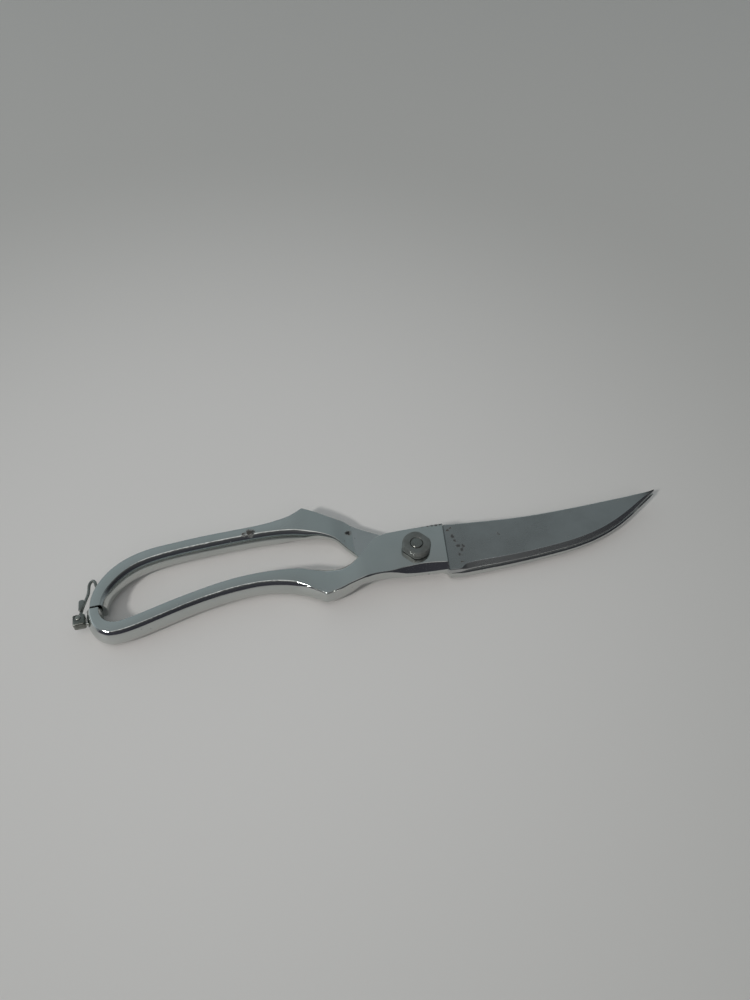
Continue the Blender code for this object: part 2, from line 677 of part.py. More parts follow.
def catch_path():
    """Centre line of the catch wire: out of the knuckle, over an arch and into the far handle."""
    plan = [
        (-134.95, 3.7), (-134.6, 5.1), (-133.5, 8.6), (-132.3, 11.8), (-131.5, 13.9), (-131.15, 16.2),
        (-131.0, 18.0), (-130.4, 19.4), (-129.4, 20.0), (-128.6, 19.0), (-128.3, 17.3), (-127.6, 15.6),
        (-126.6, 14.5), (-125.6, 13.55)]
    return [(x, y, CATCH_LEVEL) for x, y in plan]


def make_catch_hook(parts, cutters, material):
    """Bent wire with a flat eye on the catch pin."""
    obj = wire("catch_hook", catch_path(), CATCH_WIRE, parts, material)
    half = EYE_HEIGHT / 2
    cut(obj, cylinder("hook_eye", EYE_RADIUS, CATCH_LEVEL - half, CATCH_LEVEL + half, CATCH_PIN,
                      cutters, segments=24), "UNION")
    cut(obj, cylinder("hook_eye_hole", CATCH_PIN_RADIUS + 0.07, 0, 12, CATCH_PIN, cutters, segments=20))
    return obj


def make_thumb_tab(parts, material):
    """Small flat plate on the catch wire, to push the catch off with."""
    outline = [
        (-135.0, 6.6), (-134.6, 6.0), (-134.1, 6.0), (-133.5, 6.8), (-132.5, 10.3),
        (-133.0, 11.0), (-134.2, 11.1), (-134.8, 10.5)]
    return plate("catch_thumb_tab", outline, TAB_BOTTOM, TAB_THICKNESS, parts, material)


def build():
    for obj in list(bpy.data.objects):
        bpy.data.objects.remove(obj)
    parts = new_collection("poultry_shears")
    cutters = new_collection("cutters", hidden=True)
    chrome, bolt, spring, catch = chrome_plate(), bolt_steel(), spring_steel(), catch_steel()
    on_pivot = [
        make_upper_half(parts, cutters, chrome),
        make_lower_half(parts, cutters, chrome),
        make_pivot_bolt(parts, cutters, bolt),
        make_pivot_nut(parts, cutters, bolt),
        make_bolt_key(parts, bolt),
        make_return_spring(parts, spring),
        make_catch_knuckle(parts, cutters, catch),
        make_catch_stud(parts, catch),
        make_catch_pin(parts, catch),
    ]
    on_catch_pin = [
        make_catch_hook(parts, cutters, catch),
        make_thumb_tab(parts, catch),
    ]
    for obj in on_pivot + list(cutters.objects):
        set_on_axis(obj, (0, 0))
    for obj in on_catch_pin:
        set_on_axis(obj, CATCH_PIN)


build()
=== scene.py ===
"""Closed poultry shears on a pale table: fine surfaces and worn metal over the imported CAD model.

Lengths are in millimetres from the pivot axis unless a name says otherwise. The lower half is
lofted upside down and turned over, because both halves are the same kind of forging.
"""

import json
import math
from collections import namedtuple

import bmesh
import bpy
import numpy as np
from mathutils import Matrix, Vector


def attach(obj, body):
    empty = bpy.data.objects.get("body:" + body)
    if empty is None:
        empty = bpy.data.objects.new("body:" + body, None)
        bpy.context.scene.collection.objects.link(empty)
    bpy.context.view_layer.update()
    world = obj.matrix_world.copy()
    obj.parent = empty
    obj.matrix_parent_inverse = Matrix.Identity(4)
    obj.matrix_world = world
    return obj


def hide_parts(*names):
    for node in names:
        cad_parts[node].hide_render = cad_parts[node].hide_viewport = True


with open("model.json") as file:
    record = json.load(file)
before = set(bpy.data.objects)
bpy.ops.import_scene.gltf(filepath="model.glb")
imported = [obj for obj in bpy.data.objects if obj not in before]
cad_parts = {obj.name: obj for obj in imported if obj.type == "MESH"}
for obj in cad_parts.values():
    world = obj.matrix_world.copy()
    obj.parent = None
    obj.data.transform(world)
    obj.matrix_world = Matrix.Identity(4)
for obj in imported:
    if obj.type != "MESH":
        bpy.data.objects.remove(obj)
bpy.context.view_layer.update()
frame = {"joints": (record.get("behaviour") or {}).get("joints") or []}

MM = 0.001
JOINTS = {joint["name"]: Vector(joint["pos_m"]) for joint in frame["joints"]}
PIVOT = Vector((JOINTS["handles_open"].x, JOINTS["handles_open"].y, 0))
CATCH_PIN = [(JOINTS["catch_swing"] - PIVOT)[axis] / MM for axis in (0, 1)]

# Lap joint
JOINT_HEIGHT = 11.5
JOINT_GAP = 0.3
LAP = (JOINT_HEIGHT + JOINT_GAP) / 2
UNDERCUT = (3.6, 4.4)

# Blades
BLADE_FALL = 0.38
BEVEL_SLOPE = 0.72
EDGE_LAND = 0.2
EDGE_ROUND = (0.12, 0.12)
SPINE_LIP = (0.6, 0.7)
SPINE_ROUND = (0.2, 0.25)
TIP_LIP = (0.15, 0.2)

# Handles
HANDLE_TOP = 10.0
HANDLE_BOTTOM = JOINT_HEIGHT - HANDLE_TOP
HANDLE_ROUND = (1.0, 3.0)
WIDE_ROUND = (2.2, 3.9)
ROUND_SOFTNESS = 0.55

# Fineness of the lofts
SPAN_STEPS = 7
CORNER_STEPS = 9
EDGE_STEPS = 3
EDGE_RADIUS = 0.2
CREASE_RADIUS = 0.3

# Finishes of a half, in the order of its material slots, and where they change along it
PLATE, FACE, BEVEL, INNER = range(4)
BLADE_START = 10.6
INNER_START = -23

# Heights past every surface, for cutters
BELOW = -1
ABOVE = 20

# Pivot
SHANK_RADIUS = 3.4
BORE_RADIUS = SHANK_RADIUS + 0.05
THREAD_RADIUS = 2.3
THREAD_TOP = 15.5
HEAD_RADIUS = 4.5
HEAD_BOTTOM = 0.3
HEAD_TOP = 1.9
HEAD_GAP = 0.3
SLOT_WIDTH = 1.2
SLOT_DEPTH = 0.8
NUT_RADIUS = 5.9
NUT_HEIGHT = 3.5
NUT_FLAT = 5.0
NUT_ANGLE = math.radians(36)
KEY_RADIUS = 0.7
KEY_REACH = 4.5
KEY_BOTTOM = 0.6
KEY_TOP = 2.4

# Return spring and its pocket
COIL_RADIUS = 5.4
COIL_WIRE = 0.6
COIL_TURNS = 2.6
COIL_CLEARANCE = 0.35
POCKET_RADIUS = 6.7
POCKET_LOW = LAP - JOINT_GAP - 2.4
POCKET_HIGH = LAP + 3.5
LEG_LENGTH = 0.9
LEG_HOLE = COIL_WIRE + 0.3
LEG_HOLE_STARTS = (4, 8)

# Catch
CATCH_LEVEL = JOINT_HEIGHT / 2
CATCH_PIN_RADIUS = 0.55
CATCH_RIVET_RADIUS = 1.1
CATCH_PIN_FOOT = 4.4
CATCH_WIRE = 0.6
EYE_RADIUS = 1.3
EYE_HEIGHT = 1.1
KNUCKLE_LOW = (-137.2, -0.5, 4.0)
KNUCKLE_HIGH = (-132.6, 4.4, 7.9)
KNUCKLE_ROUND = 0.7
KNUCKLE_SLOT = 0.85
STUD_RADIUS = 0.7
STUD_Y = 0.45
STUD_ENDS = (-134.6, -129.9)
CATCH_HOLE_END = (-124.9, 12.9)
CATCH_HOLE_ANGLE = math.radians(138)
CATCH_HOLE_RADIUS = 1.15
CATCH_HOLE_REACH = 8
PIN_PLAY = 0.06
TAB_BOTTOM = CATCH_LEVEL + CATCH_WIRE + 0.3
TAB_THICKNESS = 0.7

# Bone notch in the lower blade
NOTCH_CENTRE = (25.0, 7.4)
NOTCH_RADIUS = 3.4

Section = namedtuple(
    "Section",
    "top bottom fall soft facet_w facet_h outer_w outer_h lip_w lip_h inner_w inner_h")


def handle_section():
    """Flat top and bottom with rounded sides, deeper at the outer top and the inner bottom."""
    return Section(
        HANDLE_TOP, HANDLE_BOTTOM, 0, ROUND_SOFTNESS,
        *WIDE_ROUND, *HANDLE_ROUND, *WIDE_ROUND, *HANDLE_ROUND)


def shank_section(
        top, bottom, facet=(0.6, 0.8), outer=(0.7, 1.0), lip=(0.6, 0.9), inner=(3.4, 4.0)):
    """Bar between the handle and the lap joint, nearly square but for its inner top edge."""
    return Section(top, bottom, 0, ROUND_SOFTNESS, *facet, *outer, *lip, *inner)


def neck_section(top, bottom):
    """Where the rounded handle squares up into the shank."""
    return shank_section(top, bottom, (1.3, 2.4), (1.4, 2.6), WIDE_ROUND, (2.2, 3.6))


def joint_section(facet=(2.2, 3.3), inner=(0.4, 0.5)):
    """Upper layer of the lap joint, with a sloping facet on its outer side."""
    return Section(JOINT_HEIGHT, LAP, 0, 0, *facet, 0.4, 0.4, 0.4, 0.4, *inner)


def blade_section(thickness, bevel, lip=SPINE_LIP):
    """Wedge with a flat inner face, a thick spine and a ground bevel at the outer edge."""
    fall = BLADE_FALL * thickness
    bevel_height = min(BEVEL_SLOPE * bevel, thickness - fall - EDGE_LAND)
    return Section(
        LAP + thickness, LAP, fall, 0, bevel, bevel_height, *EDGE_ROUND, *lip, *SPINE_ROUND)


def upper_rows():
    """Stations of the upper half: outer point, inner point, section, and corner or not."""
    grip = handle_section()
    return [
        ((-132.2, 4.4), (-126.1, 4.4), grip, False),
        ((-131.9, 0.6), (-125.8, 1.4), grip, False),
        ((-130.7, -3.6), (-124.5, -1.0), grip, False),
        ((-128.2, -7.1), (-122.4, -2.5), grip, False),
        ((-124.4, -9.3), (-119.8, -3.0), grip, False),
        ((-119.2, -9.6), (-116.6, -2.5), grip, False),
        ((-112.0, -8.5), (-110.4, -1.2), grip, False),
        ((-103.0, -6.4), (-101.3, 1.0), grip, False),
        ((-93.0, -4.1), (-91.8, 3.0), grip, False),
        ((-83.0, -2.4), (-82.3, 4.7), grip, False),
        ((-73.5, -1.5), (-73.2, 5.7), grip, False),
        ((-65.0, -1.5), (-64.5, 5.8), grip, False),
        ((-57.5, -2.7), (-56.0, 5.2), grip, False),
        ((-51.0, -4.9), (-49.0, 4.2), grip, False),
        ((-45.4, -8.1), (-43.0, 3.0), neck_section(10.05, 1.8), False),
        ((-40.0, -11.9), (-37.5, 1.7), shank_section(10.2, 2.8, (0.6, 0.8), (0.9, 1.6), (2.2, 3.2)), True),
        ((-34.0, -10.9), (-32.5, 0.9), shank_section(10.5, 3.0, lip=(1.0, 1.4)), False),
        ((-29.0, -9.6), (-28.4, 0.8), shank_section(10.9, 3.6, inner=(2.4, 3.0)), False),
        ((-24.8, -8.8), (-25.0, 1.6), shank_section(11.3, LAP, lip=(0.4, 0.6), inner=(1.0, 1.4)), False),
        ((-21.5, -8.3), (-22.6, 3.0), joint_section((0.5, 0.7)), False),
        ((-19.0, -8.15), (-20.6, 5.0), joint_section((0.4, 0.5)), False),
        ((-16.5, -8.2), (-18.4, 7.2), joint_section((0.4, 0.5)), False),
        ((-14.0, -8.5), (-15.8, 9.2), joint_section((0.5, 0.6)), False),
        ((-11.0, -8.95), (-12.4, 10.3), joint_section((0.9, 1.15)), False),
        ((-6.0, -9.7), (-7.6, 10.6), joint_section((1.9, 2.7)), False),
        ((2.0, -10.4), (2.0, 10.3), joint_section((2.4, 3.5)), False),
        ((10.3, -11.5), (14.2, 9.8), joint_section((2.0, 2.8)), True),
        ((11.1, -11.9), (15.0, 9.9), blade_section(4.0, 0.3), True),
        ((15.5, -12.3), (18.5, 9.4), blade_section(3.8, 0.35), False),
        ((18.6, -12.1), (21.4, 9.1), blade_section(3.75, 1.8), False),
        ((24.0, -12.0), (26.5, 8.55), blade_section(3.6, 1.95), False),
        ((35.0, -12.3), (37.0, 7.45), blade_section(3.3, 1.9), False),
        ((46.0, -12.3), (47.0, 6.6), blade_section(3.05, 1.85), False),
        ((57.0, -11.9), (57.0, 6.1), blade_section(2.9, 1.85), False),
        ((68.0, -11.05), (67.5, 5.95), blade_section(2.75, 1.85), False),
        ((79.0, -9.0), (78.0, 5.95), blade_section(2.6, 1.8), False),
        ((89.0, -5.75), (88.0, 6.1), blade_section(2.45, 1.8), False),
        ((98.0, -1.5), (97.5, 6.25), blade_section(2.3, 1.6), False),
        ((105.8, 2.9), (105.0, 6.55), blade_section(2.1, 1.1), False),
        ((110.5, 5.5), (110.0, 6.95), blade_section(1.8, 0.5), False),
        ((113.6, 7.1), (113.4, 7.55), blade_section(1.5, 0.1, TIP_LIP), False),
    ]


def lower_rows():
    """Stations of the lower half before it is turned over, in the same order."""
    grip = handle_section()
    return [
        ((-130.9, -5.2), (-124.3, -5.2), grip, False),
        ((-130.4, -8.9), (-123.6, -7.9), grip, False),
        ((-128.9, -13.0), (-122.0, -11.0), grip, False),
        ((-126.1, -17.4), (-119.2, -14.2), grip, False),
        ((-121.6, -21.9), (-115.5, -17.2), grip, False),
        ((-115.0, -25.7), (-110.9, -19.6), grip, False),
        ((-106.4, -28.1), (-104.2, -21.3), grip, False),
        ((-96.0, -28.9), (-95.2, -22.2), grip, False),
        ((-84.0, -29.4), (-84.0, -22.6), grip, False),
        ((-72.0, -29.4), (-72.0, -22.7), grip, False),
        ((-62.0, -29.4), (-62.0, -22.5), grip, False),
        ((-54.0, -30.0), (-54.0, -21.9), grip, False),
        ((-47.5, -31.6), (-48.0, -21.0), neck_section(9.9, 1.6), False),
        ((-41.2, -34.0), (-42.5, -19.7), shank_section(9.7, 2.0, lip=(2.0, 2.9)), True),
        ((-36.0, -31.0), (-37.0, -18.6), shank_section(9.6, 2.4, lip=(1.0, 1.4)), False),
        ((-30.3, -27.3), (-31.0, -15.4), shank_section(9.4, 3.2, inner=(4.4, 4.8)), False),
        ((-24.9, -24.9), (-26.8, -10.8), shank_section(10.9, 5.2, lip=(0.4, 0.6), inner=(3.2, 3.8)), True),
        ((-22.4, -22.0), (-23.9, -7.0), joint_section((0.8, 1.5), (2.6, 3.6)), True),
        ((-18.8, -19.3), (-20.8, -2.6), joint_section((1.0, 2.0), UNDERCUT), False),
        ((-14.4, -16.3), (-17.8, 1.2), joint_section((1.2, 2.6), UNDERCUT), False),
        ((-9.5, -13.4), (-14.0, 4.6), joint_section((1.5, 2.8), UNDERCUT), False),
        ((-4.0, -11.6), (-9.0, 7.2), joint_section((1.8, 3.0), UNDERCUT), False),
        ((3.0, -10.8), (-1.0, 8.7), joint_section(inner=UNDERCUT), False),
        ((9.0, -10.4), (8.0, 9.9), joint_section(inner=UNDERCUT), False),
        ((13.6, -9.9), (11.6, 11.2), joint_section(inner=(2.6, 3.6)), True),
        ((14.4, -9.3), (12.4, 11.6), blade_section(4.0, 0.3), True),
        ((18.0, -8.85), (17.0, 12.5), blade_section(3.8, 0.35), False),
        ((21.0, -8.45), (20.5, 12.7), blade_section(3.7, 1.8), False),
        ((27.0, -7.8), (27.0, 12.85), blade_section(3.6, 1.95), False),
        ((37.0, -6.6), (37.0, 13.05), blade_section(3.3, 1.9), False),
        ((47.0, -5.9), (47.0, 12.95), blade_section(3.05, 1.85), False),
        ((57.0, -5.2), (57.0, 12.65), blade_section(2.9, 1.85), False),
        ((68.0, -5.0), (68.0, 11.85), blade_section(2.75, 1.85), False),
        ((78.0, -5.0), (79.0, 9.85), blade_section(2.6, 1.8), False),
        ((88.0, -5.15), (89.0, 6.6), blade_section(2.45, 1.8), False),
        ((97.5, -5.3), (98.0, 2.35), blade_section(2.3, 1.6), False),
        ((105.0, -5.6), (105.8, -2.05), blade_section(2.1, 1.1), False),
        ((110.0, -6.0), (110.5, -4.7), blade_section(1.8, 0.5), False),
        ((113.0, -6.7), (113.2, -6.3), blade_section(1.5, 0.1, TIP_LIP), False),
    ]


def bezier(start, turn, end, share):
    """Point on the quadratic curve from start to end, pulled toward turn."""
    return start * (1 - share) ** 2 + turn * (2 * share * (1 - share)) + end * share ** 2


def corner(start, turn, end, soft):
    """Points from start to end round the point turn: straight at soft 0, elliptical at 1."""
    centre = start + end - turn
    points = []
    for share in np.linspace(0, 1, CORNER_STEPS + 1):
        angle = share * math.pi / 2
        arc = centre + (start - centre) * math.cos(angle) + (end - centre) * math.sin(angle)
        points.append((start + (end - start) * share) * (1 - soft) + arc * soft)
    return points


def eased(before, point, after, radius):
    """The point replaced by a short curve, so that its edge isn't knife sharp."""
    back, ahead = before - point, after - point
    start = point + back * min(radius / max(np.linalg.norm(back), 1e-6), 0.5)
    end = point + ahead * min(radius / max(np.linalg.norm(ahead), 1e-6), 0.5)
    return [bezier(start, point, end, share) for share in np.linspace(0, 1, EDGE_STEPS + 1)]


TRACK_FIELDS = 4


def station_vector(row):
    """Outer point, inner point and section of a station in one array."""
    return np.array([*row[0], *row[1], *row[2]], float)


def tangents(values, corners, lengths):
    """Tangents of tracks and sections: centred on the tracks, never overshooting on sections."""
    last = len(values) - 1
    before, after = np.zeros_like(values), np.zeros_like(values)
    for index in range(last + 1):
        back, ahead = max(index - 1, 0), min(index + 1, last)
        left = (values[index] - values[back]) / max(lengths[index] - lengths[back], 1e-9)
        right = (values[ahead] - values[index]) / max(lengths[ahead] - lengths[index], 1e-9)
        centred = (values[ahead] - values[back]) / (lengths[ahead] - lengths[back])
        same_way = left * right > 0
        monotone = np.where(same_way, 2 * left * right / np.where(same_way, left + right, 1), 0)
        centred[TRACK_FIELDS:] = monotone[TRACK_FIELDS:]
        before[index] = left if corners[index] and index > 0 else centred
        after[index] = right if corners[index] and index < last else centred
    return before, after


def fine_stations(rows):
    """Closely spaced stations on smooth curves through the rows, with eased creases."""
    values = np.array([station_vector(row) for row in rows])
    corners = [row[3] for row in rows]
    steps = np.linalg.norm(np.diff(values[:, :2], axis=0), axis=1)
    steps += np.linalg.norm(np.diff(values[:, 2:4], axis=0), axis=1)
    lengths = np.concatenate([[0], np.cumsum(steps / 2)])
    before, after = tangents(values, corners, lengths)
    fine, creases = [], set()
    for index in range(len(rows) - 1):
        length = lengths[index + 1] - lengths[index]
        count = 1 if corners[index] and corners[index + 1] else SPAN_STEPS
        if corners[index]:
            creases.add(len(fine))
        for share in np.arange(count) / count:
            square, cube = share ** 2, share ** 3
            fine.append(
                values[index] * (2 * cube - 3 * square + 1)
                + values[index + 1] * (3 * square - 2 * cube)
                + after[index] * (length * (cube - 2 * square + share))
                + before[index + 1] * (length * (cube - square)))
    fine.append(values[-1])
    result = []
    for index, value in enumerate(fine):
        if index in creases:
            result += eased(fine[index - 1], value, fine[index + 1], CREASE_RADIUS)
        else:
            result.append(value)
    return result


def section_ring(value):
    """Closed ring of points at a station, and the zone of the strip after each point."""
    outer, inner, section = value[:2], value[2:4], Section(*value[4:])
    span = inner - outer
    width = np.linalg.norm(span)
    span = span / width
    outer_top = section.top - section.fall
    facet_top = outer_top + section.fall * section.facet_w / width
    low, high = section.bottom, section.top
    corners = [
        ("facet", (section.facet_w, facet_top), (0, facet_top), (0, outer_top - section.facet_h)),
        ("outer", (0, low + section.outer_h), (0, low), (section.outer_w, low)),
        ("inner", (width - section.lip_w, low), (width, low), (width, low + section.lip_h)),
        ("inner", (width, high - section.inner_h), (width, high), (width - section.inner_w, high))]
    curves = [corner(*(np.array(point, float) for point in shape), section.soft)
              for _, *shape in corners]
    profile, zones = [], []
    for index, (zone, *_) in enumerate(corners):
        curve = curves[index]
        ahead = curves[(index + 1) % len(curves)][0]
        rounded_off = eased(curves[index - 1][-1], curve[0], curve[1], EDGE_RADIUS)
        rounded_off += curve[1:-1] + eased(curve[-2], curve[-1], ahead, EDGE_RADIUS)
        profile += rounded_off
        zones += [zone] * (len(rounded_off) - 1) + [("outer", "bottom", "inner", "top")[index]]
    points = [Vector((*(outer + span * u), z)) for u, z in profile]
    return points, zones


def from_bmesh(bm):
    """Mesh in metres in the part frame from a bmesh in millimetres from the pivot."""
    bmesh.ops.scale(bm, vec=(MM, MM, MM), verts=bm.verts)
    bmesh.ops.translate(bm, vec=PIVOT, verts=bm.verts)
    bmesh.ops.recalc_face_normals(bm, faces=bm.faces)
    mesh = bpy.data.meshes.new("shape")
    bm.to_mesh(mesh)
    bm.free()
    return mesh


def finish_of(zone, along):
    """Which finish a strip of a half takes."""
    if zone == "bottom" and along > INNER_START:
        return INNER
    if along < BLADE_START:
        return PLATE
    return {"top": FACE, "facet": BEVEL, "outer": BEVEL, "inner": PLATE}[zone]


def loft_mesh(rows, over):
    """Closed loft through the rows, turned over about X where asked."""
    bm = bmesh.new()
    rings = []
    for value in fine_stations(rows):
        points, zones = section_ring(value)
        rings.append([bm.verts.new(point) for point in points])
    count = len(zones)
    for first, second in zip(rings, rings[1:]):
        along = (first[0].co.x + second[0].co.x) / 2
        for index in range(count):
            follow = (index + 1) % count
            face = bm.faces.new((first[index], first[follow], second[follow], second[index]))
            face.material_index = finish_of(zones[index], along)
            face.smooth = True
    bm.faces.new(rings[0])
    bm.faces.new(list(reversed(rings[-1])))
    if over:
        for vertex in bm.verts:
            vertex.co.y = -vertex.co.y
            vertex.co.z = JOINT_HEIGHT - vertex.co.z
    return from_bmesh(bm)


def revolved(profile, centre, segments):
    """Bmesh turned about Z from (radius, height) points that run down the outer side."""
    bm = bmesh.new()
    rings = []
    for radius, height in profile:
        if radius < 1e-6:
            rings.append([bm.verts.new((centre[0], centre[1], height))])
            continue
        ring = []
        for step in range(segments):
            angle = 2 * math.pi * step / segments
            ring.append(bm.verts.new((
                centre[0] + radius * math.cos(angle), centre[1] + radius * math.sin(angle), height)))
        rings.append(ring)
    for upper, lower in zip(rings, rings[1:]):
        for step in range(segments):
            follow = (step + 1) % segments
            corners = [upper[step % len(upper)], lower[step % len(lower)],
                       lower[follow % len(lower)], upper[follow % len(upper)]]
            unique = list(dict.fromkeys(corners))
            if len(unique) > 2:
                bm.faces.new(unique).smooth = True
    return bm


def turned_ring(profile, centre, segments):
    """Revolved bmesh of a profile that ends where it starts."""
    bm = revolved(profile, centre, segments)
    bmesh.ops.remove_doubles(bm, verts=bm.verts, dist=0.0001)
    return bm


def cylinder_mesh(radius, low, high, centre, segments=64):
    """Upright cylinder."""
    return from_bmesh(revolved([(0, high), (radius, high), (radius, low), (0, low)], centre, segments))


def slanted_mesh(radius, start, end, segments=32):
    """Cylinder between two points."""
    bm = bmesh.new()
    axis = Vector(end) - Vector(start)
    turn = Vector((0, 0, 1)).rotation_difference(axis).to_matrix()
    bmesh.ops.create_cone(
        bm, cap_ends=True, segments=segments, radius1=radius, radius2=radius, depth=axis.length)
    bmesh.ops.rotate(bm, cent=(0, 0, 0), matrix=turn, verts=bm.verts)
    bmesh.ops.translate(bm, vec=(Vector(start) + Vector(end)) / 2, verts=bm.verts)
    return from_bmesh(bm)


def stud_mesh(radius, before=0.0, after=0.0):
    """Cylinder on the stud's axis, longer than the stud by so much at each end."""
    start, end = ((x, STUD_Y, CATCH_LEVEL) for x in (STUD_ENDS[0] - before, STUD_ENDS[1] + after))
    return slanted_mesh(radius, start, end)


def block_mesh(low, high, turn=0):
    """Box between two corners, turned about the pivot."""
    bm = bmesh.new()
    bmesh.ops.create_cube(bm, size=1)
    bmesh.ops.scale(bm, vec=Vector(high) - Vector(low), verts=bm.verts)
    bmesh.ops.translate(bm, vec=(Vector(low) + Vector(high)) / 2, verts=bm.verts)
    bmesh.ops.rotate(bm, cent=(0, 0, 0), matrix=Matrix.Rotation(turn, 3, "Z"), verts=bm.verts)
    return from_bmesh(bm)


def linked(name, data):
    """New object in the scene."""
    obj = bpy.data.objects.new(name, data)
    bpy.context.scene.collection.objects.link(obj)
    return obj


def applied(obj, helpers=()):
    """Mesh of an object with its modifiers applied. The object and its helpers are removed."""
    bpy.context.view_layer.update()
    result = bpy.data.meshes.new_from_object(obj.evaluated_get(bpy.context.evaluated_depsgraph_get()))
    for used in (obj, *helpers):
        bpy.data.objects.remove(used)
    return result


def carve(mesh, cutters, materials):
    """The mesh less its cutters. Cut walls take the last material."""
    obj = linked("carved", mesh)
    for material in materials:
        mesh.materials.append(material)
    helpers = []
    for cutter in cutters:
        cutter.materials.clear()
        cutter.materials.append(materials[-1])
        helpers.append(linked("cutter", cutter))
        boolean = obj.modifiers.new("cut", "BOOLEAN")
        boolean.solver = "EXACT"
        boolean.material_mode = "TRANSFER"
        boolean.object = helpers[-1]
    return applied(obj, helpers)


def rounded(mesh, width, segments=3, degrees=30):
    """The mesh with its sharp edges rounded off."""
    obj = linked("rounded", mesh)
    bevel = obj.modifiers.new("bevel", "BEVEL")
    bevel.width = width * MM
    bevel.segments = segments
    bevel.limit_method = "ANGLE"
    bevel.angle_limit = math.radians(degrees)
    bevel.use_clamp_overlap = True
    return applied(obj)


def swept(points, radius, segments):
    """Bmesh of a round wire along closely spaced points, with domed ends."""
    points = [Vector(point) for point in points]
    last = len(points) - 1
    along = [(points[min(i + 1, last)] - points[max(i - 1, 0)]).normalized() for i in range(last + 1)]
    side = along[0].orthogonal().normalized()
    stations = []
    for point, way in zip(points, along):
        side = (side - way * side.dot(way)).normalized()
        stations.append((point, way, side.copy(), radius))
    dome = [(math.cos(angle), math.sin(angle)) for angle in np.linspace(0, math.pi / 2, 6)[1:-1]]
    start, end = stations[0], stations[-1]
    before = [(start[0] - start[1] * radius * rise, start[1], start[2], radius * shrink)
              for shrink, rise in reversed(dome)]
    after = [(end[0] + end[1] * radius * rise, end[1], end[2], radius * shrink) for shrink, rise in dome]
    bm = bmesh.new()
    rings = []
    for centre, way, out, reach in before + stations + after:
        across = way.cross(out)
        ring = []
        for step in range(segments):
            angle = 2 * math.pi * step / segments
            ring.append(bm.verts.new(centre + (out * math.cos(angle) + across * math.sin(angle)) * reach))
        rings.append(ring)
    for first, second in zip(rings, rings[1:]):
        for step in range(segments):
            follow = (step + 1) % segments
            bm.faces.new((first[step], first[follow], second[follow], second[step]))
    bm.faces.new(list(reversed(rings[0])))
    bm.faces.new(rings[-1])
    return bm


def smooth_path(points, steps):
    """Points on a smooth curve through the given ones."""
    points = [Vector(point) for point in points]
    last = len(points) - 1
    result = []
    for index in range(last):
        p0, p1 = points[max(index - 1, 0)], points[index]
        p2, p3 = points[index + 1], points[min(index + 2, last)]
        for share in np.arange(steps) / steps:
            square, cube = share ** 2, share ** 3
            result.append((
                p1 * 2 + (p2 - p0) * share + (p0 * 2 - p1 * 5 + p2 * 4 - p3) * square
                + (p1 * 3 - p0 - p2 * 3 + p3) * cube) * 0.5)
    result.append(points[-1])
    return result


def joined(*meshes):
    """One mesh from several, in the part frame."""
    bm = bmesh.new()
    for mesh in meshes:
        bm.from_mesh(mesh)
    result = bpy.data.meshes.new("joined")
    bm.to_mesh(result)
    bm.free()
    return result


def on_own(mesh, material):
    """The mesh with one material in its only slot."""
    mesh.materials.clear()
    mesh.materials.append(material)
    return mesh


def finished(mesh, degrees, name, body, node):
    """Piece that stands for a CAD node, smooth but for edges sharper than so many degrees."""
    mesh.shade_smooth()
    mesh.set_sharp_from_angle(angle=math.radians(degrees))
    mesh.name = name
    obj = linked(name, mesh)
    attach(obj, body)
    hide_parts(node)


# Stains, and how far their outlines wander (metres)
RUST = (0.030, 0.020, 0.015)
GRIME = (0.020, 0.021, 0.022)
RAGGED = 0.0022
MICRON = 0.000001


class Graph:
    """Short-hand for a node tree. Its methods take sockets or plain values and give sockets."""

    def __init__(self, owner, space):
        owner.use_nodes = True
        self.tree = owner.node_tree
        self.position = self.node("ShaderNodeTexCoord", {}).outputs[space]

    def node(self, kind, inputs, **settings):
        made = self.tree.nodes.new(kind)
        for key, value in settings.items():
            setattr(made, key, value)
        for key, value in inputs.items():
            self.feed(made.inputs[key], value)
        return made

    def feed(self, socket, value):
        if isinstance(value, bpy.types.NodeSocket):
            self.tree.links.new(value, socket)
        else:
            socket.default_value = value

    def math(self, operation, *values):
        return self.node("ShaderNodeMath", dict(enumerate(values)), operation=operation).outputs[0]

    def times(self, first, second):
        return self.math("MULTIPLY", first, second)

    def plus(self, first, second):
        return self.math("ADD", first, second)

    def most(self, first, second):
        return self.math("MAXIMUM", first, second)

    def vector(self, operation, *values):
        """Vector arithmetic: a number for a length, distance or dot product."""
        made = self.node("ShaderNodeVectorMath", dict(enumerate(values)), operation=operation)
        measured = operation in ("LENGTH", "DISTANCE", "DOT_PRODUCT")
        return made.outputs["Value" if measured else "Vector"]

    def ramp(self, value, low, high, bottom=0.0, top=1.0):
        """Smooth step of a value from bottom to top between low and high."""
        inputs = {"Value": value, "From Min": low, "From Max": high, "To Min": bottom, "To Max": top}
        return self.node("ShaderNodeMapRange", inputs, interpolation_type="SMOOTHSTEP").outputs["Result"]

    def mix(self, share, first, second):
        """Mix of two colours."""
        made = self.node("ShaderNodeMix", {}, data_type="RGBA")
        self.feed(made.inputs["Factor"], share)
        for socket, colour in ((made.inputs[6], first), (made.inputs[7], second)):
            self.feed(socket, (*colour, 1) if isinstance(colour, tuple) else colour)
        return made.outputs[2]


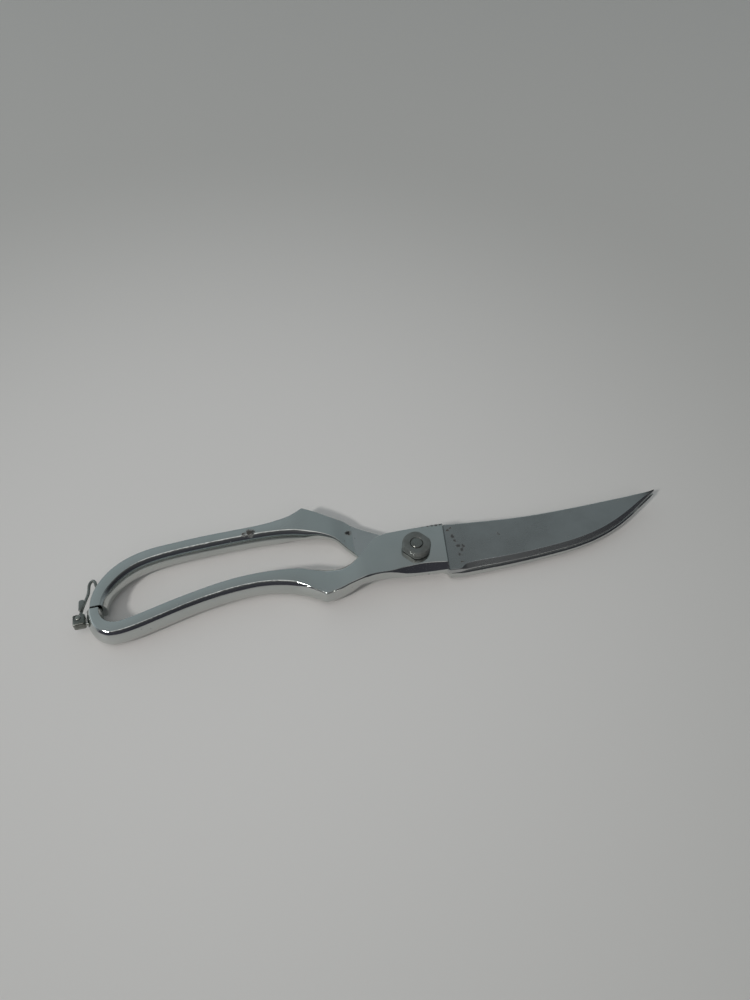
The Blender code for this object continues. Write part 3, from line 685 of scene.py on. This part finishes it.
class Surface(Graph):
    """A material's nodes, ending in its shader."""

    def __init__(self, name):
        self.material = bpy.data.materials.new(name)
        super().__init__(self.material, "Object")
        self.shader = self.tree.nodes["Principled BSDF"]

    def stretched(self, scale, turn=0.0):
        """Object position scaled apart along the axes, for grain and scratches."""
        inputs = {"Vector": self.position, "Scale": scale, "Rotation": (0, 0, turn)}
        return self.node("ShaderNodeMapping", inputs).outputs["Vector"]

    def noise(self, scale, detail=2.0, roughness=0.5, vector=None, output="Fac"):
        inputs = {"Vector": vector or self.position, "Scale": scale, "Detail": detail,
                  "Roughness": roughness}
        return self.node("ShaderNodeTexNoise", inputs).outputs[output]

    def grain(self, scale, detail, turn=0.0, roughness=0.5):
        """Noise drawn out into lines."""
        return self.noise(1.0, detail, roughness, self.stretched(scale, turn))

    def pits(self, scale, share, radius):
        """Sparse round pits: 1 in a pit, 0 elsewhere."""
        cells = self.node("ShaderNodeTexVoronoi", {"Vector": self.position, "Scale": scale}).outputs
        inside = self.ramp(cells["Distance"], radius, radius * 0.4)
        chance = self.node("ShaderNodeSeparateColor", {0: cells["Color"]}).outputs[0]
        return self.times(inside, self.math("GREATER_THAN", chance, 1 - share))

    def spots(self, places):
        """Ragged patches about given places: (x, y, z, radius)."""
        ragged = self.noise(900, 4, output="Color")
        spread = self.vector("MULTIPLY_ADD", ragged, (RAGGED,) * 3, self.position)
        total = 0.0
        for x, y, z, radius in places:
            middle = PIVOT + Vector((x, y, z)) * MM + Vector((RAGGED / 2,) * 3)
            away = self.vector("DISTANCE", spread, middle)
            total = self.most(total, self.ramp(away, radius * MM, radius * MM * 0.45))
        return total

    def relief(self, *layers):
        """Bump from (value, depth in micrometres) layers."""
        total = 0.0
        for value, depth in layers:
            total = self.plus(total, self.times(value, depth * MICRON))
        bump = self.node("ShaderNodeBump", {"Distance": 1.0, "Height": total})
        self.feed(self.shader.inputs["Normal"], bump.outputs["Normal"])

    def shade(self, colour, metallic, roughness):
        for name, value in (("Base Color", colour), ("Metallic", metallic), ("Roughness", roughness)):
            self.feed(self.shader.inputs[name], value)

    def shade_stained(self, clean, roughness, rust, grime, rust_cover, grime_cover):
        """Clean metal under rust and grime, which dull it and hide most of its colour."""
        colour = self.mix(self.times(rust, rust_cover), clean, RUST)
        colour = self.mix(self.times(grime, grime_cover), colour, GRIME)
        stain = self.most(rust, grime)
        metallic = self.math("SUBTRACT", 1.0, self.times(stain, 0.8))
        self.shade(colour, metallic, self.most(roughness, self.times(stain, 0.75)))


# Dents in the worn top edge of the handles: heights of the band, and where it ends at the joint
DENTED_RISE = ((HANDLE_TOP - 0.8) * MM, (HANDLE_TOP - 0.25) * MM)
DENTED_LIMIT = ((HANDLE_TOP - 0.003) * MM, (HANDLE_TOP - 0.03) * MM)
DENTED_END = (PIVOT.x - 0.030, PIVOT.x - 0.036)
TURNING_PITCH = 0.00028


def worn_chrome(name, rust_places, grime_places):
    """Polished plate: waves of hand polishing, hairlines, smudges, pin pits and a few stains."""
    graph = Surface(name)
    waves = graph.noise(95, 1.0)
    ripple = graph.noise(420)
    hairline = graph.ramp(graph.grain((160, 5200, 5200), 3.0, 0.12), 0.66, 0.74)
    cross = graph.ramp(graph.grain((4200, 230, 3000), 2.0, -0.5), 0.70, 0.78)
    smudge = graph.ramp(graph.noise(70, 5.0, 0.65), 0.45, 0.75)
    pits = graph.pits(620, 0.055, 0.16)
    place = graph.node("ShaderNodeSeparateXYZ", {0: graph.position}).outputs
    edge = graph.times(graph.ramp(place["Z"], *DENTED_RISE), graph.ramp(place["Z"], *DENTED_LIMIT))
    edge = graph.times(edge, graph.ramp(place["X"], *DENTED_END))
    dents = graph.times(edge, graph.grain((750, 2600, 2600), 3.0, 0.1))
    rust = graph.spots(rust_places)
    grime = graph.most(graph.spots(grime_places), graph.times(pits, 0.8))
    plate = graph.mix(graph.ramp(graph.noise(38, 3.0), 0.35, 0.7), (0.53, 0.555, 0.54), (0.58, 0.60, 0.585))
    roughness = graph.plus(0.085, graph.times(smudge, 0.075))
    roughness = graph.plus(roughness, graph.times(hairline, 0.10))
    graph.shade_stained(plate, roughness, rust, grime, 0.92, 0.9)
    graph.relief((waves, 40), (ripple, 3.5), (hairline, -1.2), (cross, -0.8), (pits, -30), (rust, 30),
                 (dents, 80))
    return graph.material


def scaled(values, factor):
    """Every value times the factor."""
    return tuple(value * factor for value in values)


def ground_steel(name, colour, scale, rough, rust_places=(), grime_places=()):
    """Ground blade steel: fine lines along the grain, cloudy tarnish and small stains."""
    graph = Surface(name)
    lines = graph.grain(scale, 4.0, roughness=0.7)
    scores = graph.ramp(graph.grain(scaled(scale, 0.45), 2.0, 0.05), 0.66, 0.72)
    cloud = graph.ramp(graph.noise(48, 5.0, 0.6), 0.38, 0.72)
    pits = graph.pits(480, 0.05, 0.15)
    rust = graph.spots(rust_places)
    grime = graph.most(graph.spots(grime_places), graph.times(pits, 0.7))
    steel = graph.mix(cloud, colour, scaled(colour, 0.80))
    steel = graph.mix(graph.times(lines, 0.35), steel, scaled(colour, 0.7))
    roughness = graph.plus(rough, graph.times(lines, 0.10))
    roughness = graph.plus(roughness, graph.times(cloud, 0.06))
    graph.shade_stained(steel, roughness, rust, grime, 0.85, 0.85)
    graph.relief((lines, 1.6), (scores, -2.4), (pits, -30), (rust, 20))
    return graph.material


def turned_steel(name, colour, rough, tarnish):
    """Small hardware: turning rings about the pivot, grey tarnish in patches and worn pits."""
    graph = Surface(name)
    outward = graph.vector("MULTIPLY", graph.vector("SUBTRACT", graph.position, PIVOT), (1, 1, 0))
    rings = graph.math("SINE", graph.times(graph.vector("LENGTH", outward), 2 * math.pi / TURNING_PITCH))
    patches = graph.ramp(graph.noise(260, 5.0, 0.65), 0.42, 0.66)
    speckle = graph.noise(1900, 3.0)
    pits = graph.pits(900, 0.10, 0.2)
    steel = graph.mix(graph.times(patches, 0.75), colour, tarnish)
    steel = graph.mix(graph.times(pits, 0.8), steel, GRIME)
    metallic = graph.math("SUBTRACT", 0.6, graph.times(patches, 0.2))
    roughness = graph.plus(rough, graph.times(patches, 0.2))
    graph.shade(steel, metallic, graph.plus(roughness, graph.times(speckle, 0.08)))
    graph.relief((rings, 2.2), (speckle, 6), (pits, -30), (patches, -4))
    return graph.material


def rough_steel(name, colour, tarnish):
    """Dull tarnished steel of the catch: mottled, with brown in the recesses of its surface."""
    graph = Surface(name)
    mottle = graph.noise(520, 5.0, 0.65)
    patches = graph.ramp(graph.noise(230, 4.0), 0.40, 0.66)
    brown = graph.ramp(graph.noise(340, 5.0, 0.7), 0.60, 0.72)
    speckle = graph.noise(2400)
    steel = graph.mix(graph.times(patches, 0.8), colour, tarnish)
    steel = graph.mix(graph.times(brown, 0.55), steel, RUST)
    metallic = graph.math("SUBTRACT", 1.0, graph.times(brown, 0.6))
    roughness = graph.ramp(mottle, 0.3, 0.7, 0.18, 0.42)
    graph.shade(steel, metallic, graph.plus(roughness, graph.times(brown, 0.25)))
    graph.relief((mottle, 20), (speckle, 6), (brown, 10))
    return graph.material


# Places of the stains: x, y, z and radius
FAR_RUST = [
    (-64.7, 25.6, 9.6, 2.2), (-67.5, 25.3, 9.4, 1.3), (-24.4, 18.1, 6.3, 1.7), (-22.6, 17.9, 5.8, 1.0)]
FAR_GRIME = [
    (-63.4, 25.4, 9.6, 1.3), (-24.6, 18.3, 6.3, 1.3), (-21.1, 17.3, 5.6, 0.7), (-14.9, 16.0, 5.6, 0.7),
    (-26.7, 14.1, 6.8, 0.6), (-45.8, 20.1, 9.8, 0.6)]
NEAR_RUST = [
    (-5.7, -8.9, 5.9, 0.7), (-3.0, -9.6, 5.9, 0.8), (-0.5, -10.0, 5.9, 0.7), (2.6, -10.4, 5.9, 0.8)]
NEAR_GRIME = [
    (-29.8, -9.0, 8.2, 0.8), (8.0, 9.9, 11.5, 1.1), (9.6, 9.6, 11.5, 0.9), (11.4, 9.5, 11.5, 1.2),
    (13.2, 9.4, 11.5, 0.9), (5.6, 9.7, 11.5, 0.5)]
BLADE_GRIME = [
    (44.2, -9.6, 8.6, 0.6), (51.6, -6.7, 8.6, 0.5), (64.5, -7.5, 8.2, 0.5), (36.3, 0.4, 9.3, 0.9),
    (17.0, 3.4, 9.3, 1.3), (17.6, 1.2, 9.1, 1.1), (18.0, -1.4, 8.9, 1.2), (18.9, -3.6, 8.7, 1.1),
    (17.5, -5.6, 8.6, 1.1), (20.0, -2.1, 8.8, 1.1)]
BLADE_RUST = [(16.0, 6.6, 9.8, 0.9), (17.4, 7.6, 9.8, 0.7), (17.2, -9.2, 8.6, 0.7)]

upper_chrome = worn_chrome("near_plate", NEAR_RUST, NEAR_GRIME)
lower_chrome = worn_chrome("far_plate", FAR_RUST, FAR_GRIME)
blade_face = ground_steel(
    "blade_face", (0.455, 0.47, 0.465), (260, 2600, 2600), 0.17, BLADE_RUST, BLADE_GRIME)
blade_bevel = ground_steel("blade_bevel", (0.58, 0.60, 0.60), (2400, 380, 2400), 0.20)
inner_face = ground_steel("inner_face", (0.56, 0.575, 0.57), (420, 2600, 2600), 0.26)
cut_wall = ground_steel("cut_wall", (0.42, 0.43, 0.43), (900, 900, 3000), 0.35)
nut_steel = turned_steel("nut_steel", (0.19, 0.20, 0.192), 0.28, (0.115, 0.12, 0.112))
bolt_end = rough_steel("bolt_end", (0.25, 0.255, 0.24), (0.10, 0.10, 0.09))
spring_steel = rough_steel("spring_steel_worn", (0.30, 0.31, 0.33), (0.16, 0.16, 0.17))
catch_steel = rough_steel("catch_steel_worn", (0.50, 0.52, 0.50), (0.26, 0.27, 0.24))
hook_steel = rough_steel("hook_steel", (0.36, 0.375, 0.355), (0.17, 0.175, 0.16))
knuckle_steel = rough_steel("knuckle_steel", (0.30, 0.315, 0.29), (0.12, 0.125, 0.112))
tab_steel = rough_steel("tab_steel", (0.27, 0.28, 0.265), (0.14, 0.145, 0.13))


def leg_position(angle):
    """Plan position of a spring leg."""
    return (COIL_RADIUS * math.cos(angle), COIL_RADIUS * math.sin(angle))


def make_upper_half():
    """Near handle, upper layer of the joint and upper blade."""
    leg = 2 * math.pi * COIL_TURNS + COIL_WIRE / COIL_RADIUS
    cutters = [
        cylinder_mesh(BORE_RADIUS, 0, ABOVE, (0, 0)),
        cylinder_mesh(POCKET_RADIUS, 0, POCKET_HIGH, (0, 0)),
        cylinder_mesh(LEG_HOLE, LEG_HOLE_STARTS[1], POCKET_HIGH + LEG_LENGTH + 0.3, leg_position(leg), 24),
        stud_mesh(STUD_RADIUS + PIN_PLAY, 1.0, 0.3)]
    mesh = carve(loft_mesh(upper_rows(), False), cutters,
                 [upper_chrome, blade_face, blade_bevel, inner_face, cut_wall])
    finished(mesh, 32, "upper_half_fine", "upper_body", "upper_half")


def make_lower_half():
    """Far handle, lower layer of the joint and lower blade."""
    hole_start = Vector((*CATCH_HOLE_END, CATCH_LEVEL))
    hole_way = Vector((math.cos(CATCH_HOLE_ANGLE), math.sin(CATCH_HOLE_ANGLE), 0))
    sink_top = HEAD_TOP + HEAD_GAP
    sink_radius = HEAD_RADIUS + HEAD_GAP
    sink = [(0, sink_top), (SHANK_RADIUS + HEAD_GAP, sink_top), (sink_radius, HEAD_BOTTOM),
            (sink_radius, BELOW), (0, BELOW)]
    cutters = [
        cylinder_mesh(BORE_RADIUS, BELOW, ABOVE, (0, 0)),
        cylinder_mesh(POCKET_RADIUS, POCKET_LOW, ABOVE, (0, 0)),
        from_bmesh(revolved(sink, (0, 0), 64)),
        cylinder_mesh(LEG_HOLE, POCKET_LOW - LEG_LENGTH - 0.3, LEG_HOLE_STARTS[0],
                      leg_position(-COIL_WIRE / COIL_RADIUS), 24),
        cylinder_mesh(KEY_RADIUS + 0.05, 0, KEY_TOP + 0.2, (0, KEY_REACH), 24),
        cylinder_mesh(NOTCH_RADIUS, BELOW, ABOVE, NOTCH_CENTRE),
        slanted_mesh(CATCH_HOLE_RADIUS, hole_start, hole_start + CATCH_HOLE_REACH * hole_way)]
    mesh = carve(loft_mesh(lower_rows(), True), cutters,
                 [lower_chrome, blade_face, blade_bevel, inner_face, cut_wall])
    finished(mesh, 32, "lower_half_fine", "lower_body", "lower_half")


def make_pivot_bolt():
    """Slotted countersunk head below, plain shank and domed rough end above."""
    profile = [
        (0, THREAD_TOP), (1.2, THREAD_TOP - 0.02), (THREAD_RADIUS - 0.1, THREAD_TOP - 0.1),
        (THREAD_RADIUS + 0.12, THREAD_TOP - 0.3), (THREAD_RADIUS + 0.2, THREAD_TOP - 0.6),
        (THREAD_RADIUS + 0.2, JOINT_HEIGHT - 0.1), (SHANK_RADIUS - 0.1, JOINT_HEIGHT - 0.2),
        (SHANK_RADIUS, JOINT_HEIGHT - 0.35), (SHANK_RADIUS, HEAD_TOP + 0.05),
        (HEAD_RADIUS, HEAD_BOTTOM + 0.4), (HEAD_RADIUS, HEAD_BOTTOM + 0.12),
        (HEAD_RADIUS - 0.12, HEAD_BOTTOM), (0, HEAD_BOTTOM)]
    half = SLOT_WIDTH / 2
    cutters = [
        block_mesh((-8, -half, BELOW), (8, half, HEAD_BOTTOM + SLOT_DEPTH)),
        cylinder_mesh(KEY_RADIUS + 0.3, BELOW, HEAD_TOP + 0.1, (0, KEY_REACH), 32)]
    mesh = carve(from_bmesh(revolved(profile, (0, 0), 96)), cutters, [bolt_end, cut_wall])
    finished(mesh, 32, "pivot_bolt_fine", "lower_body", "pivot_bolt")


def make_pivot_nut():
    """Round nut with two flats; every edge is worn round."""
    low = JOINT_HEIGHT + 0.3
    high = low + NUT_HEIGHT
    bore = THREAD_RADIUS + 0.3
    profile = [
        (bore, high - 0.3), (bore + 0.25, high), (NUT_RADIUS - 0.75, high), (NUT_RADIUS - 0.35, high - 0.1),
        (NUT_RADIUS - 0.1, high - 0.35), (NUT_RADIUS, high - 0.7), (NUT_RADIUS, low + 0.2),
        (NUT_RADIUS - 0.2, low), (bore, low), (bore, high - 0.3)]
    flats = [
        block_mesh((NUT_FLAT, -10, low - 1), (NUT_FLAT + 5, 10, high + 1), NUT_ANGLE + side * math.pi)
        for side in (0, 1)]
    mesh = carve(from_bmesh(turned_ring(profile, (0, 0), 120)), flats, [nut_steel])
    mesh = on_own(rounded(mesh, 0.14, 3, 28), nut_steel)
    finished(mesh, 40, "pivot_nut_fine", "lower_body", "pivot_nut")


def make_bolt_key():
    """Dowel with eased ends."""
    ease = 0.15
    profile = [
        (0, KEY_TOP), (KEY_RADIUS - ease, KEY_TOP), (KEY_RADIUS, KEY_TOP - ease),
        (KEY_RADIUS, KEY_BOTTOM + ease), (KEY_RADIUS - ease, KEY_BOTTOM), (0, KEY_BOTTOM)]
    mesh = on_own(from_bmesh(revolved(profile, (0, KEY_REACH), 32)), bolt_end)
    finished(mesh, 35, "bolt_key_fine", "lower_body", "bolt_key_pin")


def make_return_spring():
    """Round wire: a leg down, the turns and a leg up."""
    low = POCKET_LOW + COIL_CLEARANCE + COIL_WIRE
    high = POCKET_HIGH - COIL_CLEARANCE - COIL_WIRE
    total = 2 * math.pi * COIL_TURNS
    turns = [(*leg_position(total * share), low + (high - low) * share) for share in np.linspace(0, 1, 120)]
    start = leg_position(-COIL_WIRE / COIL_RADIUS)
    end = leg_position(total + COIL_WIRE / COIL_RADIUS)
    path = [(*start, POCKET_LOW - LEG_LENGTH + COIL_WIRE), (*start, low - COIL_WIRE * 0.6), *turns,
            (*end, high + COIL_WIRE * 0.6), (*end, POCKET_HIGH + LEG_LENGTH - COIL_WIRE)]
    mesh = on_own(from_bmesh(swept(path, COIL_WIRE, 16)), spring_steel)
    finished(mesh, 50, "return_spring_fine", "lower_body", "return_spring")


def make_catch_knuckle():
    """Rounded block, slotted for the hook's eye."""
    top = KNUCKLE_HIGH[2]
    cutters = [
        block_mesh((-140, CATCH_PIN[1] - EYE_RADIUS - 0.3, CATCH_LEVEL - KNUCKLE_SLOT),
                   (-133.3, 8, CATCH_LEVEL + KNUCKLE_SLOT)),
        cylinder_mesh(CATCH_PIN_RADIUS + PIN_PLAY, CATCH_PIN_FOOT - 0.2, 12, CATCH_PIN, 32),
        cylinder_mesh(CATCH_RIVET_RADIUS + 0.35, top - 0.6, 12, CATCH_PIN, 48),
        stud_mesh(STUD_RADIUS + PIN_PLAY, 0.3)]
    block = rounded(block_mesh(KNUCKLE_LOW, KNUCKLE_HIGH), KNUCKLE_ROUND, 6)
    mesh = carve(block, cutters, [knuckle_steel, cut_wall])
    finished(mesh, 35, "catch_knuckle_fine", "upper_body", "catch_knuckle")


def make_catch_stud():
    """Plain stud between the knuckle and the handle."""
    mesh = on_own(rounded(stud_mesh(STUD_RADIUS), 0.12, 2), catch_steel)
    finished(mesh, 35, "catch_stud_fine", "upper_body", "catch_stud")


def make_catch_pin():
    """Upright pin with a hammered dome."""
    top = KNUCKLE_HIGH[2]
    dome = [(CATCH_RIVET_RADIUS * math.sin(angle), top - 0.25 + 0.35 * math.cos(angle))
            for angle in np.linspace(0, math.pi / 2, 7)]
    profile = [*dome, (CATCH_RIVET_RADIUS - 0.05, top - 0.3), (CATCH_PIN_RADIUS, top - 0.3),
               (CATCH_PIN_RADIUS, CATCH_PIN_FOOT + 0.1), (CATCH_PIN_RADIUS - 0.1, CATCH_PIN_FOOT),
               (0, CATCH_PIN_FOOT)]
    mesh = on_own(from_bmesh(revolved(profile, CATCH_PIN, 40)), catch_steel)
    finished(mesh, 40, "catch_pin_fine", "upper_body", "catch_pin")


def make_catch_hook():
    """Bent wire with a flat eye on the catch pin."""
    plan = [
        (-134.95, 3.9), (-134.6, 5.1), (-133.5, 8.6), (-132.3, 11.8), (-131.5, 13.9), (-131.15, 16.2),
        (-131.0, 18.0), (-130.4, 19.4), (-129.4, 20.0), (-128.6, 19.0), (-128.3, 17.3), (-127.6, 15.6),
        (-126.6, 14.5), (-125.9, 13.85)]
    path = smooth_path([(x, y, CATCH_LEVEL) for x, y in plan], 7)
    low, high = CATCH_LEVEL - EYE_HEIGHT / 2, CATCH_LEVEL + EYE_HEIGHT / 2
    inner = CATCH_PIN_RADIUS + 0.07
    ease = 0.15
    ring = [
        (inner, high), (EYE_RADIUS - ease, high), (EYE_RADIUS, high - ease), (EYE_RADIUS, low + ease),
        (EYE_RADIUS - ease, low), (inner, low), (inner, high)]
    eye = from_bmesh(turned_ring(ring, CATCH_PIN, 48))
    mesh = on_own(joined(from_bmesh(swept(path, CATCH_WIRE, 20)), eye), hook_steel)
    finished(mesh, 40, "catch_hook_fine", "catch_body", "catch_hook")


def make_thumb_tab():
    """Small flat plate with worn edges."""
    outline = [
        (-135.0, 6.6), (-134.6, 6.0), (-134.1, 6.0), (-133.5, 6.8), (-132.5, 10.3),
        (-133.0, 11.0), (-134.2, 11.1), (-134.8, 10.5)]
    bm = bmesh.new()
    low = [bm.verts.new((x, y, TAB_BOTTOM)) for x, y in outline]
    high = [bm.verts.new((x, y, TAB_BOTTOM + TAB_THICKNESS)) for x, y in outline]
    bm.faces.new(list(reversed(low)))
    bm.faces.new(high)
    for index in range(len(outline)):
        follow = (index + 1) % len(outline)
        bm.faces.new((low[index], low[follow], high[follow], high[index]))
    mesh = on_own(rounded(from_bmesh(bm), 0.22, 4, 20), tab_steel)
    finished(mesh, 40, "catch_thumb_tab_fine", "catch_body", "catch_thumb_tab")


# Table top: paint, the painted shade that darkens it far from the object as the light falls off, and where
# that shade comes in (metres)
TABLE_SIZE = 2.5
TABLE_PAINT = ((0.747, 0.728, 0.712), (0.772, 0.753, 0.737))
TABLE_PAINTED_FALLOFF = (0.535, 0.527, 0.508)
TABLE_CENTRE = (-0.07, 0.02, 0)
TABLE_FADE = (0.05, 0.36)


def make_floor():
    """Plain pale table top, with painted shade darkening it away from the object as the light falls off."""
    bm = bmesh.new()
    bmesh.ops.create_grid(bm, x_segments=2, y_segments=2, size=TABLE_SIZE)
    mesh = bpy.data.meshes.new("table_top")
    bm.to_mesh(mesh)
    bm.free()
    graph = Surface("table_paint")
    # painted shade: the paint darkens with distance from the object, standing in for the falloff of the
    # light
    painted_falloff = graph.ramp(graph.vector("DISTANCE", graph.position, TABLE_CENTRE), *TABLE_FADE)
    paint = graph.mix(graph.noise(3), *TABLE_PAINT)
    graph.shade(graph.mix(painted_falloff, paint, TABLE_PAINTED_FALLOFF), 0.0, 0.5)
    graph.feed(graph.shader.inputs["Specular IOR Level"], 0.25)
    graph.relief((graph.noise(900, 3.0), 4))
    mesh.materials.append(graph.material)
    linked("table_top", mesh)


# Room: colours from the horizon up, on the far side and on the near side, and a glow overhead
FAR_ROOM = [
    (0.0, (0.505, 0.555, 0.585)), (0.12, (0.43, 0.48, 0.505)), (0.4, (0.335, 0.382, 0.40)),
    (0.75, (0.305, 0.35, 0.365)), (1.0, (0.235, 0.25, 0.255))]
NEAR_ROOM = [
    (0.0, (0.043, 0.042, 0.056)), (0.25, (0.050, 0.050, 0.060)), (0.5, (0.080, 0.081, 0.086)),
    (0.8, (0.13, 0.132, 0.134)), (1.0, (0.24, 0.25, 0.255))]
SIDE_EDGE = (-0.35, 0.25)
RIGHT_DIMMING = 0.45
GLOW_WAY = Vector((-0.12, -0.27, 0.955))
GLOW_COLOUR = (0.98, 0.97, 0.955)
GLOW_EDGE = (0.915, 0.965)


def elevation_colour(graph, up, stops):
    """Colour of the room by height."""
    ramp = graph.node("ShaderNodeValToRGB", {0: up})
    ramp.color_ramp.interpolation = "EASE"
    elements = ramp.color_ramp.elements
    while len(elements) < len(stops):
        elements.new(0.5)
    for element, (height, colour) in zip(elements, stops):
        element.position = height
        element.color = (*colour, 1)
    return ramp.outputs[0]


def make_world():
    """Dim room: paler on the far side, dark low down on the near side, dimmer to the right."""
    world = bpy.data.worlds.new("room")
    bpy.context.scene.world = world
    graph = Graph(world, "Generated")
    right, far_way, up = graph.node("ShaderNodeSeparateXYZ", {0: graph.position}).outputs
    near, far = (elevation_colour(graph, up, stops) for stops in (NEAR_ROOM, FAR_ROOM))
    room = graph.mix(graph.ramp(far_way, *SIDE_EDGE), near, far)
    toward_glow = graph.vector("DOT_PRODUCT", graph.position, GLOW_WAY.normalized())
    background = graph.tree.nodes["Background"].inputs
    graph.feed(background["Color"], graph.mix(graph.ramp(toward_glow, *GLOW_EDGE), room, GLOW_COLOUR))
    graph.feed(background["Strength"], graph.math("MULTIPLY_ADD", right, -RIGHT_DIMMING, 1.0))


def make_light(name, way, reach, size, power, colour):
    """Soft round light aimed at the object; reach and size in metres."""
    data = bpy.data.lights.new(name, "AREA")
    data.shape = "DISK"
    data.size = size
    data.energy = power
    data.color = colour
    obj = linked(name, data)
    obj.location = way.normalized() * reach
    obj.rotation_mode = "QUATERNION"
    obj.rotation_quaternion = way.to_track_quat("Z", "Y")
    return obj


def make_lights():
    """Small window light from the left, and a wide weak fill that no metal mirrors."""
    make_light("window", Vector((-0.645, -0.413, 0.645)),
               reach=3.0, size=0.36, power=30.0, colour=(1.0, 0.985, 0.96))
    fill = make_light("fill", Vector((0.1, -0.72, 0.69)),
                      reach=1.6, size=1.1, power=2.0, colour=(1.0, 0.995, 0.99))
    fill.visible_glossy = False


# Camera: where it stands from the pivot, and its unrolled axes
CAMERA_PLACE = Vector((-65.97, -167.24, 263.0))
CAMERA_FORWARD = Vector((0.17330, 0.60498, -0.77715))
CAMERA_RIGHT = Vector((0.96133, -0.27538, 0))
CAMERA_ROLL = math.radians(1.5)
CAMERA_LENS = 36.05


def make_camera():
    """Camera at the height and slant of someone standing at the table."""
    data = bpy.data.cameras.new("camera")
    data.sensor_fit = "HORIZONTAL"
    data.sensor_width = 36
    data.lens = CAMERA_LENS
    data.clip_start = 0.01
    data.clip_end = 20
    forward = CAMERA_FORWARD.normalized()
    right = CAMERA_RIGHT.normalized()
    up = right.cross(forward)
    rolled_right = right * math.cos(CAMERA_ROLL) + up * math.sin(CAMERA_ROLL)
    rolled_up = up * math.cos(CAMERA_ROLL) - right * math.sin(CAMERA_ROLL)
    turn = Matrix((rolled_right, rolled_up, -forward)).transposed()
    obj = linked("camera", data)
    obj.matrix_world = Matrix.Translation(PIVOT + CAMERA_PLACE * MM) @ turn.to_4x4()
    bpy.context.scene.camera = obj


make_camera()
make_world()
make_lights()
make_floor()
make_upper_half()
make_lower_half()
make_pivot_bolt()
make_pivot_nut()
make_bolt_key()
make_return_spring()
make_catch_knuckle()
make_catch_stud()
make_catch_pin()
make_catch_hook()
make_thumb_tab()
bpy.context.scene.view_settings.view_transform = "Standard"
